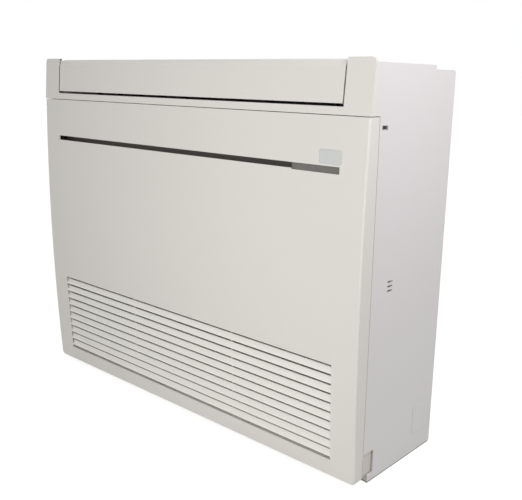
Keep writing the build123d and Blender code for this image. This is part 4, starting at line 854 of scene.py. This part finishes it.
# Floor, backdrop and soft studio light
floor = bpy.data.objects.new("floor", bpy.data.meshes.new("floor"))
ground = bmesh.new()
bmesh.ops.create_grid(ground, x_segments=1, y_segments=1, size=FLOOR_HALF)
ground.to_mesh(floor.data)
ground.free()
bpy.context.scene.collection.objects.link(floor)
pale = Paint(bpy.data.materials.new("pale_floor"))
pale.set(base_color=tone(188, 188, 188), roughness=0.9)
pale.set(emission_color=pale.mix(pale.seen(), (0, 0, 0, 1), (1, 1, 1, 1)), emission_strength=FLOOR_GLOW)
floor.data.materials.append(pale.owner)
floor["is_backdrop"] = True

# The backdrop is plain white where it is seen, and dimmer as a light
studio = Paint(bpy.data.worlds.new("studio"))
bpy.context.scene.world = studio.owner
studio.put(studio.shader, {"Color": (1, 1, 1, 1), "Strength": studio.seen() * (1.0 - AMBIENT) + AMBIENT})


def lamp(name, place, aim, size, power, colour=(1, 1, 1)):
    """A soft rectangular lamp."""
    light = bpy.data.lights.new(name, "AREA")
    light.shape = "RECTANGLE"
    light.size, light.size_y = size
    light.energy = power
    light.color = colour
    holder = bpy.data.objects.new(name, light)
    holder.location = place
    holder.rotation_euler = (Vector(aim) - Vector(place)).to_track_quat("-Z", "Y").to_euler()
    bpy.context.scene.collection.objects.link(holder)


lamp("front_near", (0.30, -0.95, 0.40), (0.30, 0, 0.3), (0.3, 1.2), 3.21, (1.0, 1.0, 0.99))
lamp("front_fill", (0.15, -1.20, 0.50), (0.15, 0, 0.3), (0.3, 1.0), 2.02)
lamp("side_high", (1.0, 0.05, 1.05), (0.375, 0.05, 0.5), (0.4, 0.4), 2.95, (1.0, 0.97, 0.94))
lamp("side_near", (0.9, -0.2, 0.85), (0.375, -0.05, 0.55), (0.3, 0.3), 1.45, (0.93, 0.91, 1.0))

# Camera, solved from the photograph, with its focal length and shift in pixels
PHOTO_WIDTH, FOCAL_LENGTH, SHIFT_X, SHIFT_Y = 522, 717.28, -25.97, 15.39
SENSOR = 36.0
yaw, pitch, roll = math.radians(40.81), math.radians(-14.49), math.radians(1.14)
ahead = Vector((-math.sin(yaw) * math.cos(pitch), math.cos(yaw) * math.cos(pitch), math.sin(pitch)))
level_right = Vector((math.cos(yaw), math.sin(yaw), 0))
level_up = level_right.cross(ahead)
right = math.cos(roll) * level_right + math.sin(roll) * level_up
up = -math.sin(roll) * level_right + math.cos(roll) * level_up
camera = bpy.data.objects.new("camera", bpy.data.cameras.new("camera"))
bpy.context.scene.collection.objects.link(camera)
turn = Matrix((right, up, -ahead)).transposed().to_4x4()
camera.matrix_world = Matrix.Translation((0.89473, -0.85838, 0.56983)) @ turn
camera.data.sensor_width = SENSOR
camera.data.lens = FOCAL_LENGTH / PHOTO_WIDTH * SENSOR
camera.data.shift_x = SHIFT_X / PHOTO_WIDTH
camera.data.shift_y = SHIFT_Y / PHOTO_WIDTH
bpy.context.scene.camera = camera
bpy.context.scene.view_settings.view_transform = "Standard"

low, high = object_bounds()
